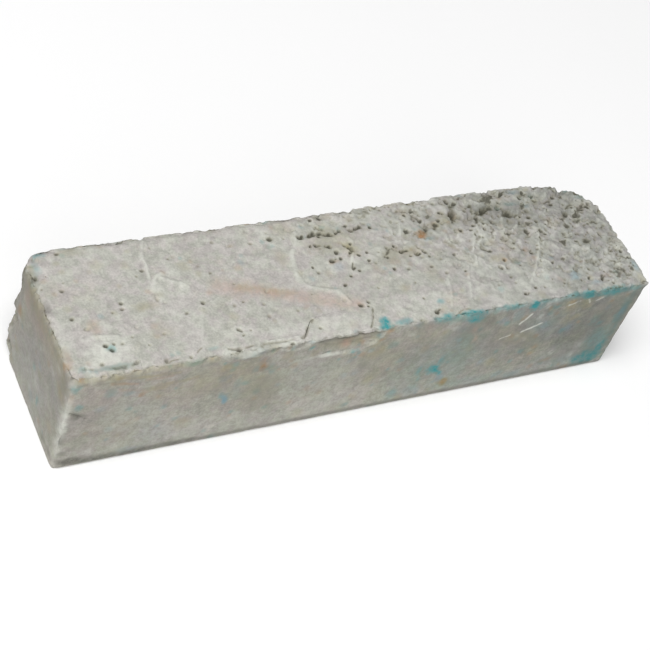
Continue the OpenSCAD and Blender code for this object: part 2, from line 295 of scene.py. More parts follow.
# Stains, in the order in which they lie over each other: a colour's name and its patches. Each
# patch has its place and its reach, both along the face and then up or across it, and its strength.
TOP_STAINS = [
    # The wide chalk patches at 20, 54 and 80 along, near the front edge, are painted light that
    # lightens the top's front rows.
    ("chalk", [
        (-110, -21, 9.5, 5.5, 0.75), (-113, -26, 8, 3, 0.5), (-57, -22, 5, 3, 0.35),
        (-76, -26, 6, 3.5, 0.3), (-20, -26, 13, 4, 0.35), (118, -14, 3.5, 3, 0.3),
        (-124, -12, 4, 10, 0.3), (-18, 16, 3, 4, 0.35), (-78, -12, 12, 16, 0.16),
        (-40, -25, 12, 4, 0.3), (-100, 20, 14, 10, 0.1), (20, -24, 16, 6, 0.26),
        (54, -25, 16, 5, 0.16), (80, -23, 14, 6, 0.26), (-20, -6, 10, 5, 0.1),
        (60, -10, 12, 8, 0.14), (62, 3, 10, 5, 0.08), (78, 25, 9, 4, 0.2), (2, 25, 9, 4, 0.2),
        (14, 5, 3, 4, 0.35)]),
    # The teal patch at -111 along, -28.8 across paints the shadow line under the corner flake's
    # front edge.
    ("teal", [
        (-109, -20.5, 2.2, 1.8, 0.6), (-121.5, 27.6, 3, 2, 0.6), (-124, 21, 2, 4, 0.3),
        (-111, -28.8, 9, 1.3, 0.3), (-72, -28, 2.4, 1.2, 0.25), (0.5, -29.6, 2.6, 2.8, 0.9),
        (8, -30.4, 5, 1.8, 0.55), (28.5, -24, 2, 1.4, 0.45), (36, -21.5, 1.6, 1, 0.25),
        (29, -31, 3.5, 1.2, 0.45), (79.2, 19.4, 1.4, 1.4, 0.5), (86, 20, 4, 1.4, 0.25),
        (98.4, 22.8, 1.3, 1.1, 0.5), (123, 19, 4, 2, 0.25)]),
    ("blue", [
        (95.5, -22, 3, 3, 0.4), (39.5, 8, 3, 1.3, 0.45), (91, 26.5, 3, 2, 0.35),
        (104, -27.4, 3.5, 1.3, 0.3), (-6, 1, 3, 3, 0.2), (127, -22, 2, 4, 0.35)]),
    ("rust", [
        (37, 11, 3.2, 2.5, 1.0), (67.6, -8.6, 1.7, 1.2, 0.6), (-7, 3.4, 2.6, 1.6, 0.35),
        (56.5, 19, 2, 2, 0.4), (-112, -10, 2.6, 4, 0.28), (83, 24.5, 2, 1.4, 0.3),
        (34, 24, 3, 3, 0.2), (18, -0.5, 4, 2, 0.2)]),
    ("ochre", [
        (65, -7, 5, 3, 0.35), (79, -12.5, 1.6, 4, 0.25), (-110, 26, 7, 2.5, 0.2),
        (-126, 21, 2, 3, 0.4), (51, 19, 3, 3, 0.3), (46, 15, 3, 3, 0.3), (3, 8, 4, 4, 0.3),
        (39, 28.6, 4, 1.4, 0.5), (30, 3, 6, 3, 0.25), (-90, -4, 6, 2.4, 0.3), (-22, 24, 6, 5, 0.2),
        (-28, 9, 3, 5, 0.25), (32, -8, 3, 6, 0.15), (75, 3, 4, 4, 0.15)]),
    # The first patch here, at -111 along, -28.8 across, paints the shadow line under the corner
    # flake's front edge.
    ("soot_and_shade", [
        (-111, -28.8, 9, 1.3, 0.3), (0, -10, 10, 12, 0.12), (20, 3, 12, 8, 0.15),
        (40, 16, 13, 12, 0.16), (40, -8, 10, 8, 0.1), (-36, -10, 14, 14, 0.07),
        (84, 12, 10, 7, 0.28), (119, 24, 8, 6, 0.3), (82.5, 15.5, 3.6, 2.8, 0.5),
        (104, 16, 14, 10, 0.28), (111, -5.5, 5, 3.5, 0.35), (122, 5, 6, 14, 0.18),
        (93, -4, 20, 6, 0.12), (-127, 2, 3.4, 4, 0.5), (-127, 17, 3, 4, 0.4),
        (71.5, 19, 4, 2.8, 0.6), (76, 20.6, 3, 2.4, 0.45), (72, 12, 3, 2.2, 0.45),
        (57, 21, 2.4, 5, 0.35), (67, 22, 3, 2, 0.35), (110, 11, 3.4, 2.4, 0.4)]),
    ("ochre", [(-88, -17, 6, 4, 0.18), (-3, 14, 14, 7, 0.25), (22, 3, 10, 5, 0.2)]),
    ("soot_and_shade", [
        (-60, 14, 9, 12, 0.06), (3, 18.5, 20, 2.6, 0.25), (-8, 12.5, 6, 2.4, 0.25),
        (62, 16, 13, 9, 0.22), (80, 17, 16, 9, 0.3), (75, 27.5, 22, 2.4, 0.28),
        (16, 27.5, 3.4, 2.4, 0.5), (39, 13, 4, 3.4, 0.3)]),
    ("red", [
        (-1, -33, 2, 2, 0.2), (71, -3, 4, 2.4, 0.15), (-120, 10, 5, 5, 0.08)]),
    ("teal", [(-122, -27.5, 2, 1.6, 0.3)]),
    ("rust", [(-126, -23, 1.6, 5, 0.25)]),
]

FRONT_STAINS = [
    ("rust", [
        (-123, 48, 1.5, 1.6, 0.6), (-98, 34.6, 1.6, 1.6, 0.5), (-49.5, 38.4, 1.6, 2.8, 0.7),
        (3, 47, 2, 1.2, 0.35), (1, 42.4, 1.2, 1.4, 0.35), (-102, 49.5, 2.4, 1.2, 0.3),
        (-126, 40, 1.5, 5, 0.25)]),
    ("ochre", [
        (-92, 37.4, 6, 2, 0.3), (-78, 14, 5, 2.2, 0.3), (42.6, 5.8, 2.6, 3.4, 1.0),
        (117, 6.5, 3, 2, 0.3)]),
    ("teal", [
        (122, 48, 4, 2.4, 0.3), (118, 3, 8, 4.6, 1.0), (124, 8, 3.6, 7, 0.8),
        (125, 27, 3.4, 20, 0.4), (118, 16, 7, 11, 0.3), (110, 30, 3, 4, 0.2)]),
    ("rust", [(42.6, 5.8, 2.2, 3, 0.45)]),
    ("soot_and_shade", [(-49, 37.6, 1, 1.6, 0.35), (6, 30, 14, 10, 0.06)]),
    ("teal", [
        (42, 24, 13, 22, 0.17), (22, 18, 14, 16, 0.11), (15, 27, 2, 2, 0.25),
        (27, 17, 1.6, 3, 0.4), (18, 4, 3.4, 4, 0.3)]),
    # The first ochre patch here paints the olive shadow under the edge flake's lip.
    ("ochre", [(-18, 44.5, 12, 3.4, 0.25), (-8, 3, 6, 3, 0.15)]),
    ("teal", [(8, 37.6, 3, 2.6, 0.25), (1, 49.6, 3.4, 1.8, 0.9)]),
    ("red", [(-14.6, 43, 2.6, 2.6, 0.55), (-7, 47, 2.4, 1.2, 0.3)]),
    ("rust", [(-50.5, 42, 1.5, 2.4, 0.3)]),
    ("soot_and_shade", [(64, 30, 14, 14, 0.1)]),
    ("teal", [
        (29, 11, 1, 2, 0.35), (36.4, 21.5, 1.8, 3, 0.4), (27, 5, 5, 4, 0.18),
        (99.4, 48.6, 3.6, 2.6, 1.0), (112, 47.6, 8, 3.4, 0.65), (78, 2, 6, 2.4, 0.2)]),
    ("ochre", [(83, 41, 3, 2, 0.2), (65, 30, 10, 8, 0.15), (75, 26, 10, 5, 0.2)]),
    ("teal", [
        (34, 16, 3.4, 2.6, 0.8), (42, 48.6, 5.4, 2.4, 1.0), (43, 45, 3, 2.4, 0.8),
        (40, 46.4, 12, 2.4, 0.3), (29, 48.6, 6, 1.6, 0.6), (61, 48.4, 6, 1.8, 0.55),
        (72.4, 47, 2.6, 3.2, 0.95), (66, 42, 3, 5, 0.2), (92, 49, 6, 1.8, 0.5),
        (82, 32, 5, 3, 0.12)]),
    ("red", [
        (46, 38, 2, 2.6, 0.25), (48.6, 31.6, 1.4, 3, 0.3), (15, 46, 1.6, 1.2, 0.15)]),
    ("soot_and_shade", [(126, 26, 3, 26, 0.35), (119, 6, 9, 8, 0.35), (20, 46, 9, 3, 0.15)]),
    ("blue", [
        (-108, 14, 22, 22, 0.07), (84, 34, 10, 8, 0.1), (125, 32, 2, 5, 0.25),
        (86, 33, 5, 3, 0.12)]),
    # The first two chalk patches here paint the highlight on the hollow's lower ledge where it
    # bends up.
    ("chalk", [
        (-3, 41.6, 3, 1.6, 0.45), (0.6, 46, 1, 3.4, 0.3), (107.5, 45, 2, 1, 0.3)]),
    ("soot_and_shade", [
        (104.5, 47, 2, 1.6, 0.35), (95, 27, 6, 3, 0.15), (80, 49, 5, 1.4, 0.25),
        (98, 48.4, 7, 2.6, 0.25), (114, 47.6, 9, 3, 0.22)]),
    ("red", [(-108, 14, 22, 22, 0.05), (22, 45, 2, 2, 0.15)]),
    ("teal", [
        (-125, 44, 2, 2.2, 0.4), (-110.5, 38.6, 2.6, 3, 0.3), (104, 5, 8, 4, 0.14),
        (55, 3, 20, 3, 0.12)]),
    ("ochre", [
        (-46, 22, 8, 13, 0.14), (-58, 39, 9, 7, 0.15), (-75, 30, 10, 8, 0.12)]),
    ("teal", [
        (-103, 37, 2.6, 1.6, 0.22), (-79, 48, 5, 1.8, 0.4), (-58, 31, 2, 4, 0.25),
        (-64, 25, 1.4, 2.6, 0.3)]),
    ("blue", [
        (-57, 24, 2.4, 4, 0.15), (-61.6, 22, 1.7, 2.8, 0.85), (39, 9.6, 2.4, 3, 0.4),
        (-98, 1.6, 6, 2, 0.25)]),
    # The thin chalk patch at -20 along, 38.6 up paints the highlight on the hollow's lower ledge.
    ("chalk", [
        (-59, 48, 8, 2.6, 0.6), (-20, 38.6, 11, 1, 0.55), (-40, 48.8, 8, 1, 0.4),
        (-32, 20, 6, 13, 0.14)]),
    ("ochre", [(-52, 28, 14, 18, 0.18)]),
    ("soot_and_shade", [(100, 8, 9, 5, 0.2)]),
    ("red", [(124, 22, 2, 5, 0.2), (-112, 40, 4, 3, 0.1)]),
    ("soot_and_shade", [(116, 34, 10, 14, 0.18), (113, 24, 12, 20, 0.12)]),
    ("chalk", [(-127, 24, 2.6, 18, 0.5)]),
    ("soot_and_shade", [
        (-122, 28, 3.6, 2.4, 0.6), (-125.6, 14, 1.4, 4, 0.55), (-122, 1.6, 5, 2, 0.6),
        (-124.4, 6.4, 2.2, 1.6, 0.5), (-118, 2, 5, 1.6, 0.4), (-115, 9, 3, 2, 0.15)]),
    ("teal", [(-32, 26, 36, 15, 0.06)]),
    ("chalk", [(-32, 26, 36, 15, 0.05)]),
    ("ochre", [(-70, 38, 12, 9, 0.2)]),
    ("soot_and_shade", [(-46, 24, 9, 13, 0.1), (-50, 14, 5, 4, 0.1), (-52, 40, 12, 5, 0.12)]),
    ("red", [(-114, 34, 9, 9, 0.08)]),
    ("blue", [(-88, 9, 12, 7, 0.07)]),
    ("ochre", [(-8, 26, 24, 16, 0.1), (-90, 34, 9, 7, 0.12)]),
    ("soot_and_shade", [(-104, 13, 4, 3, 0.12), (41, 38, 8, 6, 0.16)]),
    ("chalk", [
        (-100, 22, 12, 10, 0.18), (-66, 8, 16, 7, 0.14), (-20, 6, 14, 6, 0.12),
        (-38, 37, 8, 6, 0.12), (-85, 14, 12, 9, 0.1), (-6, 12, 20, 7, 0.12)]),
    ("soot_and_shade", [(-3, 28, 3, 3, 0.25)]),
    ("teal", [(45, 44, 4, 2, 0.4)]),
    ("soot_and_shade", [(47, 40, 8, 8, 0.16)]),
    ("chalk", [(-18, 22, 12, 14, 0.14)]),
    ("soot_and_shade", [(30, 34, 12, 8, 0.12), (-27, 30, 2, 8, 0.1), (-38, 10, 4, 6, 0.1)]),
    ("ochre", [(22, 40, 12, 6, 0.15)]),
    # The first patch here is painted shadow under the edge flake's lip.
    ("soot_and_shade", [(-14, 47.2, 14, 1.3, 0.4), (75, 25, 12, 5, 0.14)]),
    ("teal", [(119, 4, 9, 5, 0.6)]),
    ("soot_and_shade", [(119, 4, 9, 6, 0.25)]),
]

LEFT_STAINS = [
    # This broad patch paints shade over the whole left end.
    ("soot_and_shade", [(0, 26, 34, 26, 0.12)]),
    ("rust", [(2, 41, 24, 8, 0.12)]),
    ("soot_and_shade", [(4, 5, 30, 8, 0.16)]),
    ("ochre", [(-10, 44, 18, 6, 0.12)]),
    ("soot_and_shade", [
        (14, 44, 18, 7, 0.3), (-8, 47, 16, 3, 0.2), (-22, 34, 6, 14, 0.12), (27, 27, 3, 3, 0.4),
        (-12, 40, 8, 3, 0.12)]),
    ("red", [(16, 40, 4, 5, 0.2), (2, 39, 7, 4, 0.12)]),
    ("rust", [(21, 28, 3, 3, 0.45), (-23, 48, 2.4, 4, 0.35)]),
    ("teal", [(-8.5, 9.6, 1.6, 3.4, 0.4), (-3, 5, 3, 3, 0.12)]),
    ("chalk", [
        (-4.5, 16, 2.6, 2.6, 0.2), (18.5, 4.5, 2, 2.4, 0.2), (-30, 18, 3, 16, 0.3)]),
    ("soot_and_shade", [(-27, 42, 5, 9, 0.3)]),
    ("chalk", [(-2, 12, 26, 10, 0.08)]),
    ("blue", [(0, 24, 34, 28, 0.09)]),
    ("red", [(0, 24, 34, 28, 0.06)]),
    ("soot_and_shade", [
        (26, 43, 3.4, 9, 0.7), (28, 33, 2.6, 5, 0.4), (-20, 0.6, 3, 2, 0.4),
        (-26, 0.8, 3, 2, 0.4)]),
    ("ochre", [(-24, 38, 5, 8, 0.2), (0, 46, 26, 5, 0.22)]),
    ("soot_and_shade", [(-31, 45, 1.6, 2, 0.4)]),
]

RIGHT_STAINS = [
    ("teal", [(-26, 6, 8, 7, 0.6), (-14, 30, 3, 9, 0.3)]),
    ("soot_and_shade", [(10, 38, 14, 9, 0.25)]),
    ("ochre", [(-4, 18, 12, 8, 0.25)]),
    ("rust", [(14, 14, 2.6, 4, 0.4)]),
    ("chalk", [(-20, 44, 6, 3, 0.35)]),
]

BACK_STAINS = [
    ("teal", [(-96, 44, 12, 4, 0.4), (20, 12, 4, 6, 0.35)]),
    ("rust", [(-30, 30, 3, 4, 0.45)]),
    ("chalk", [(-62, 16, 18, 9, 0.2), (-118, 10, 6, 8, 0.3)]),
    ("ochre", [(60, 20, 24, 12, 0.22)]),
    ("soot_and_shade", [(84, 40, 26, 8, 0.22)]),
    ("red", [(4, 36, 8, 4, 0.2)]),
    ("blue", [(102, 18, 5, 7, 0.25)]),
]

# Long smears, streaks and thin scratches of bare chalk: a colour's name, points, width and
# strength.
TOP_SMEARS = [
    ("red", [(-59, 1), (-46, -3.6), (-32, -9.4), (-18, -14.6), (-7, -18.4)], 5.6, 0.34),
    ("rust", [(-52, -2.4), (-44, -4.6), (-34, -8.4)], 3.0, 0.16),
    ("ochre", [(-50, -1.4), (-40, -5), (-30, -8.4)], 2.2, 0.2),
    ("red", [(-62, -2), (-50, -9)], 2.4, 0.1),
    ("soot_and_shade", [(-46, 13.4), (-36, 12.8), (-28, 12.6)], 1.2, 0.22),
]

FRONT_SMEARS = [
    ("teal", [(33.4, 18.2), (35.4, 15.8), (38, 12.8)], 2.2, 0.8),
    ("blue", [(-63.6, 25), (-62, 22.6), (-60.8, 20.6)], 1.2, 0.5),
    ("rust", [(-110.5, 44.2), (-106, 43), (-100.6, 41.6)], 1.2, 0.45),
    ("ochre", [(-109, 46.4), (-97, 45), (-85, 44.2)], 1.4, 0.45),
    ("rust", [(-98, 43.4), (-92, 42.6), (-87, 42.8)], 1.0, 0.3),
    ("ochre", [(-92, 39.6), (-84, 38.6), (-76, 40)], 1.2, 0.3),
    ("rust", [(-107, 39.8), (-102, 38.2), (-96, 36)], 1.0, 0.25),
    ("teal", [(24, 48.4), (60, 48.2), (96, 47.8), (126, 47)], 2.4, 0.22),
    ("ochre", [(-124, 48), (-100, 48.2), (-70, 48)], 2.6, 0.35),
    # The next two dark lines paint the shade under the overhanging top edge.
    ("soot_and_shade", [(-66, 48.2), (-50, 47.2), (-36, 48.4)], 1.6, 0.3),
    ("soot_and_shade", [(4, 48.6), (30, 48.6), (70, 48.4), (124, 48.4)], 1.8, 0.2),
    ("red", [(46, 38), (52, 27)], 1.6, 0.15),
    ("chalk", [(69, 36.4), (71, 38.6), (73, 41.6)], 0.9, 1.0),
    ("chalk", [(62, 28.6), (67, 30)], 0.6, 0.6),
    ("chalk", [(72, 30.6), (76, 32), (80.6, 34.4)], 0.8, 1.0),
    ("chalk", [(91, 43), (94, 43.8), (96.6, 44.8)], 0.8, 0.9),
    ("chalk", [(100.4, 45.2), (101.6, 42.6)], 0.6, 0.7),
    ("chalk", [(104.6, 43.4), (107.6, 44.6)], 0.6, 0.7),
    # These three dark lines paint the shadow under the edge flake's lip.
    ("soot_and_shade", [(-27, 46.4), (-14, 45.6), (-5, 46.8)], 1.2, 0.4),
    ("soot_and_shade", [(-24, 44), (-12, 43.2), (-4, 44.4)], 0.9, 0.3),
    ("soot_and_shade", [(-21, 48), (-8, 47.4)], 1.0, 0.4),
    # The next two lines darken the front side along its foot.
    ("soot_and_shade", [(-122, -0.4), (-60, -0.5), (0, -0.5), (60, -0.5), (122, -0.5)], 1.8, 0.6),
    ("soot_and_shade", [(-124, 0.6), (-112, 0.4), (-98, 0), (-70, -0.2)], 2.8, 0.5),
]

# Small pits that are scattered: where, how many, least and largest radius, and depth as a share
# of the radius.
SCATTERED_PITS = [
    ("top", 620, 0.5, 1.0, 0.8), ("top", 110, 1.0, 2.2, 0.35), ("sides", 200, 0.5, 1.1, 0.25),
    ("broken", 160, 0.5, 1.3, 0.6),
]

# Small flecks of colour that are scattered: where, a colour's name, how many, least and largest
# radius, and strength.
SCATTERED_FLECKS = [
    ("sides", "teal", 110, 0.9, 2.0, 0.32), ("sides", "rust", 90, 0.9, 2.0, 0.3),
    ("sides", "ochre", 90, 1.4, 4.0, 0.28), ("sides", "blue", 50, 1.2, 2.6, 0.22),
    ("sides", "chalk", 60, 1.2, 3.0, 0.25), ("top", "ochre", 70, 1.0, 3.2, 0.22),
    ("top", "teal", 40, 0.9, 1.8, 0.22), ("top", "rust", 40, 0.9, 2.0, 0.22),
    ("top", "chalk", 60, 1.2, 3.0, 0.3),
]

PIT_SEED = 5
FLECK_SEED = 8

# How far each kind of mark fades out, as a share of the size given for it.
STAIN_FADE = 1.3
SMEAR_FADE = 2
FLECK_FADE = 1.3
PIT_FADE = 1.4

# How the loose flakes stand out of the crust: least and greatest X, greatest Y and height.
RAISED_FLAKES = [(-35, -2, -19.5, 0.22), (-120, -100, -14.5, 0.1)]
FLAKE_DUST = 0.06   # fresh chalk on the flakes, as a share of their colour

# How far the right end leans back under its upper edge: just below the crust, and further down.
CRUST_LEAN = 1.5
END_LEAN = 0.9


# ---------------------------------------------------------------- sizes and colours

def length(name, description, metres):
    return bpy.props.FloatProperty(
        name=name, description=description, default=metres, unit="LENGTH", precision=5)


def colour(name, description, red, green, blue):
    return bpy.props.FloatVectorProperty(
        name=name, description=description, default=(red, green, blue), size=3,
        subtype="COLOR", min=0.0, max=1.0)


class ChalkBlockSizes(bpy.types.PropertyGroup):
    """Sizes of the bar, its wear and its grain"""
    length: length("Length", "Length over both ends", (HIGH[0] - LOW[0]) * MM)
    top_width: length("Top width", "Width across the top face", 2 * TOP_HALF_WIDTH * MM)
    base_width: length("Underside width", "Width across the underside", (HIGH[1] - LOW[1]) * MM)
    height: length("Height", "Height from the underside to the top", TOP * MM)
    crust_seat: length("Crust seat", "Height at which the crust parts", CRUST_SEAT * MM)
    seam_waviness: length("Seam waviness", "How far the crust's underside wanders", 0.0008)
    upright_radius: length("Upright radius", "Radius of the four upright edges", 0.0012)
    top_radius: length("Top edge radius", "Radius of the edges round the top", 0.0009)
    base_radius: length("Base edge radius", "Radius of the edges round the underside", 0.0005)
    grain: length("Grain", "Spacing of the mesh on the sides; the top has half of it", 0.00088)
    camera_distance: length("Camera distance", "From the camera to what it aims at", 0.6371)


class ChalkBlockColours(bpy.types.PropertyGroup):
    """Colours of the chalk, its stains and the floor"""
    crust: colour("Crust", "Clean crust", 0.43, 0.42, 0.386)
    # The two right-end colours darken the crust and the cast sides towards the right end and the
    # back.
    right_end_crust: colour("Worn crust", "Crust at the handled right end", 0.33, 0.328, 0.308)
    cast: colour("Cast side", "Clean cast sides", 0.335, 0.324, 0.288)
    right_end_cast: colour("Worn cast side", "Cast sides at the handled right end", 0.20, 0.212, 0.196)
    cream: colour("Cream", "Warm patches", 0.47, 0.44, 0.36)
    # This dark colour stands for dirt and for painted shade in pits, cracks and hollows.
    dirt_and_shade: colour("Dirt", "What lies in pits and cracks", 0.06, 0.058, 0.042)
    # The chalk colour also paints light: highlights on ridges, pit rims and the hollow's lower
    # ledge, light bounced onto the cast sides near the underside, and the lighter front rows of the
    # top.
    chalk: colour("Chalk", "Fresh, rubbed chalk", 0.60, 0.61, 0.55)
    teal: colour("Teal", "Teal stains", 0.045, 0.27, 0.285)
    blue: colour("Blue", "Blue stains", 0.15, 0.29, 0.36)
    rust: colour("Rust", "Rust spots", 0.34, 0.18, 0.08)
    ochre: colour("Ochre", "Ochre and olive stains", 0.30, 0.26, 0.13)
    red: colour("Red", "Reddish smears", 0.45, 0.30, 0.235)
    # This dark colour also paints shade: under the overhanging top edge, the edge flake's lip and
    # the corner flake's front edge, and over the left end.
    soot_and_shade: colour("Soot", "Dark, handled grime", 0.12, 0.12, 0.10)
    mauve: colour("Mauve cast", "Tints the chalk in patches", 1.0, 0.97, 1.0)
    moss: colour("Mossy cast", "Tints the chalk between the mauve patches", 0.97, 0.995, 0.965)
    floor: colour("Floor", "The floor under the block", 0.92, 0.92, 0.92)


# ---------------------------------------------------------------- working the surface

def vectors(items, name):
    """One row for each vertex or face of a mesh, with its co, center or normal."""
    flat = np.empty(len(items) * 3)
    items.foreach_get(name, flat)
    return flat.reshape(-1, 3)


def smooth(low, high, value):
    """0 at low, 1 at high, and a smooth ramp between."""
    t = np.clip((value - low) / (high - low), 0.0, 1.0)
    return t * t * (3 - 2 * t)


def noise(points, size, octaves=1, shift=0.0):
    """Smooth noise from -1 to 1, with lumps about size apart and finer octaves on them. A shift
    gives each use its own lumps."""
    q = points @ TURN.T / size + shift
    total, weight, share = 0.0, 0.0, 1.0
    for _ in range(octaves):
        cell = np.floor(q).astype(int)
        t = q - cell
        t = t * t * (3 - 2 * t)
        value = 0.0
        for corner in np.ndindex(2, 2, 2):
            index = (cell + corner) % LATTICE_SIZE
            value = value + np.where(corner, t, 1 - t).prod(axis=1) * LATTICE[tuple(index.T)]
        total, weight = total + share * value, weight + share
        share, q = share / 2, q * 2.07 + 5.3
    return total / weight


# What is painted on the surface: how deep it lies in a hollow, how far it stands out, how much
# crust shows, and how much stain of which colour.
PAINT_LAYERS = ("cavity", "ridge", "top", "stain_cover", "stain_red", "stain_green", "stain_blue")


class Clay:
    """The bar's surface while it is worked: where each point lies, how far it will be pushed
    along its normal, and the paint on it."""

    # Marks drift about from their places by DRIFT, and their borders fray by a share of FRAY.
    DRIFT_SIZE = 4.5
    DRIFT = 0.6
    FRAY_SIZE = 1.5
    FRAY = 0.4

    def __init__(self, bar):
        self.mesh = bar.data
        count = len(self.mesh.vertices)
        points = vectors(self.mesh.vertices, "co") / MM
        self.order = np.argsort(points[:, 0])
        self.points = points[self.order]
        self.normals = vectors(self.mesh.vertices, "normal")[self.order]
        drift = [noise(self.points, self.DRIFT_SIZE, 2, shift) for shift in (3.0, 7.0, 13.0)]
        self.drifted = self.points + self.DRIFT * np.stack(drift, axis=1)
        self.fray = 1 + self.FRAY * noise(self.points, self.FRAY_SIZE, 2, 23.0)
        self.push = np.zeros(count)
        self.cavity = np.zeros(count)
        self.ridge = np.zeros(count)
        self.stain = np.zeros((count, 4))

    def slice_of(self, low_x, high_x):
        """The points between two places along the block, with room for the drift."""
        low, high = np.searchsorted(self.points[:, 0], (low_x - 2, high_x + 2))
        return slice(low, high)

    def spot(self, place, reach):
        """Points near a place, and 1 at it falling to 0 at its reach."""
        part = self.slice_of(place[0] - reach[0], place[0] + reach[0])
        away = np.linalg.norm((self.drifted[part] - place) / reach, axis=1)
        return part, 1 - smooth(0.2, 1.0, away * self.fray[part])

    def scatter(self, chance, weight, count, small, large, fade):
        """Picks points at random by weight, and gives a random radius and the spot round each."""
        share = weight / weight.sum()
        for index in chance.choice(len(share), count, p=share):
            radius = chance.uniform(small, large)
            part, shape = self.spot(self.points[index], np.full(3, radius * fade))
            yield radius, part, shape

    def line(self, places, width):
        """Points near a line through places, and 1 on it falling to 0 at half its width."""
        places = np.array(places)
        part = self.slice_of(places[:, 0].min() - width, places[:, 0].max() + width)
        points = self.drifted[part]
        away = np.full(len(points), np.inf)
        for start, end in zip(places, places[1:]):
            run = end - start
            along = np.clip((points - start) @ run / (run @ run), 0, 1)
            gap = points - start - along[:, None] * run
            away = np.minimum(away, np.linalg.norm(gap, axis=1))
        return part, 1 - smooth(0.1, 1.0, away / (width / 2) * self.fray[part])

    def darken(self, shape, part=slice(None)):
        """Marks points as a hollow that is painted darker: dirt, and painted shade."""
        self.cavity[part] = np.maximum(self.cavity[part], shape)

    def rub_and_highlight(self, shape, part=slice(None)):
        """Marks points as a ridge that is painted lighter: rubbed clean chalk, and a painted
        highlight.
        """
        self.ridge[part] = np.maximum(self.ridge[part], shape)

    def dig(self, part, shape, depth, dark):
        """Pushes points in, and darkens them."""
        self.push[part] -= depth * shape
        self.darken(dark * shape, part)

    def raise_up(self, part, shape, height):
        """Pushes points out, and marks them to be painted lighter, the more the higher they stand:
        rubbed chalk, and a painted highlight.
        """
        self.push[part] += height * shape
        self.rub_and_highlight(min(1, 2.4 * height) * shape, part)

    def tint(self, part, shape, paint, strength):
        """Lays one stain over those already there."""
        grain = 0.5 + 0.5 * noise(self.points[part], 1.6, 2, 21.0)
        cover = np.clip(shape * strength * (0.7 + 0.6 * grain), 0, 1)[:, None]
        below = self.stain[part].copy()
        self.stain[part, 3:] = cover + below[:, 3:] * (1 - cover)
        over = np.maximum(self.stain[part, 3:], 1e-6)
        mixed = np.array(paint) * cover + below[:, :3] * below[:, 3:] * (1 - cover)
        self.stain[part, :3] = mixed / over

    def finish(self, top_share):
        """Moves the mesh's vertices and stores the paint on them as attributes."""
        place = self.points + self.push[:, None] * self.normals
        place = np.clip(place, LOW + (BOX_MARGIN, BOX_MARGIN, 0), HIGH - BOX_MARGIN)
        back = np.argsort(self.order)
        self.mesh.vertices.foreach_set("co", (place[back] * MM).ravel())
        paint = (self.cavity, self.ridge, top_share, self.stain[:, 3], *self.stain[:, :3].T)
        for name, values in zip(PAINT_LAYERS, paint):
            layer = self.mesh.attributes.new(name, "FLOAT", "POINT")
            layer.data.foreach_set("value", values[back].astype(np.float32))
        self.mesh.update()


def handled_share(points):
    """0 at the clean left end and 1 at the handled back right end."""
    x, y, _ = points.T
    return smooth(0, 95, x + 1.9 * y - 4 + 16 * noise(points, 30))


def wave_and_grain(clay):
    """Broad unevenness everywhere, and a rough, open grain on the top."""
    points = clay.points
    up = smooth(0.35, 0.8, clay.normals[:, 2])
    side = smooth(0.7, 0.3, np.abs(clay.normals[:, 2]))
    clay.push += side * (0.1 * noise(points, 30) - 0.12 + 0.09 * noise(points, 7, 3, 2.0))
    clay.push += up * (0.2 * noise(points, 34) - 0.55 + 0.2 * noise(points, 12, 2, 4.0))
    clay.push += up * 0.2 * noise(points, 3.6, 3, 8.0)
    handled = up * handled_share(points)
    crumbs = noise(points, 2.7, 4, 17.0)
    clay.push += handled * 0.55 * crumbs
    hollow = handled * smooth(0.08, 0.5, -crumbs)
    clay.darken(0.8 * hollow)
    clay.rub_and_highlight(handled * smooth(0.15, 0.5, crumbs) * 0.6)
    # A skin of fine wrinkles, which fades towards the left end.
    for size, shift, height in ((11, 33.0, 0.26), (6.5, 37.0, 0.2)):
        crest = smooth(0.16, 0.0, np.abs(noise(points, size, 3, shift)))
        here = smooth(-0.15, 0.35, noise(points, 22, 2, shift + 5))
        wrinkled = up * here * (0.25 + 0.75 * smooth(-60, 40, points[:, 0])) * crest
        clay.push += height * wrinkled
        clay.rub_and_highlight(0.55 * wrinkled)
    # The broken corners are rough, and the front right upright edge less so.
    slanted = smooth(0.08, 0.25, np.abs(clay.normals[:, 0]))
    slanted = slanted * smooth(0.08, 0.3, np.abs(clay.normals[:, 1])) * smooth(4, 12, points[:, 2])
    slanted = slanted * np.where((points[:, 0] > 0) & (points[:, 1] < 0), 0.15, 1)
    clay.push += slanted * (0.5 * noise(points, 6, 3, 31.0))


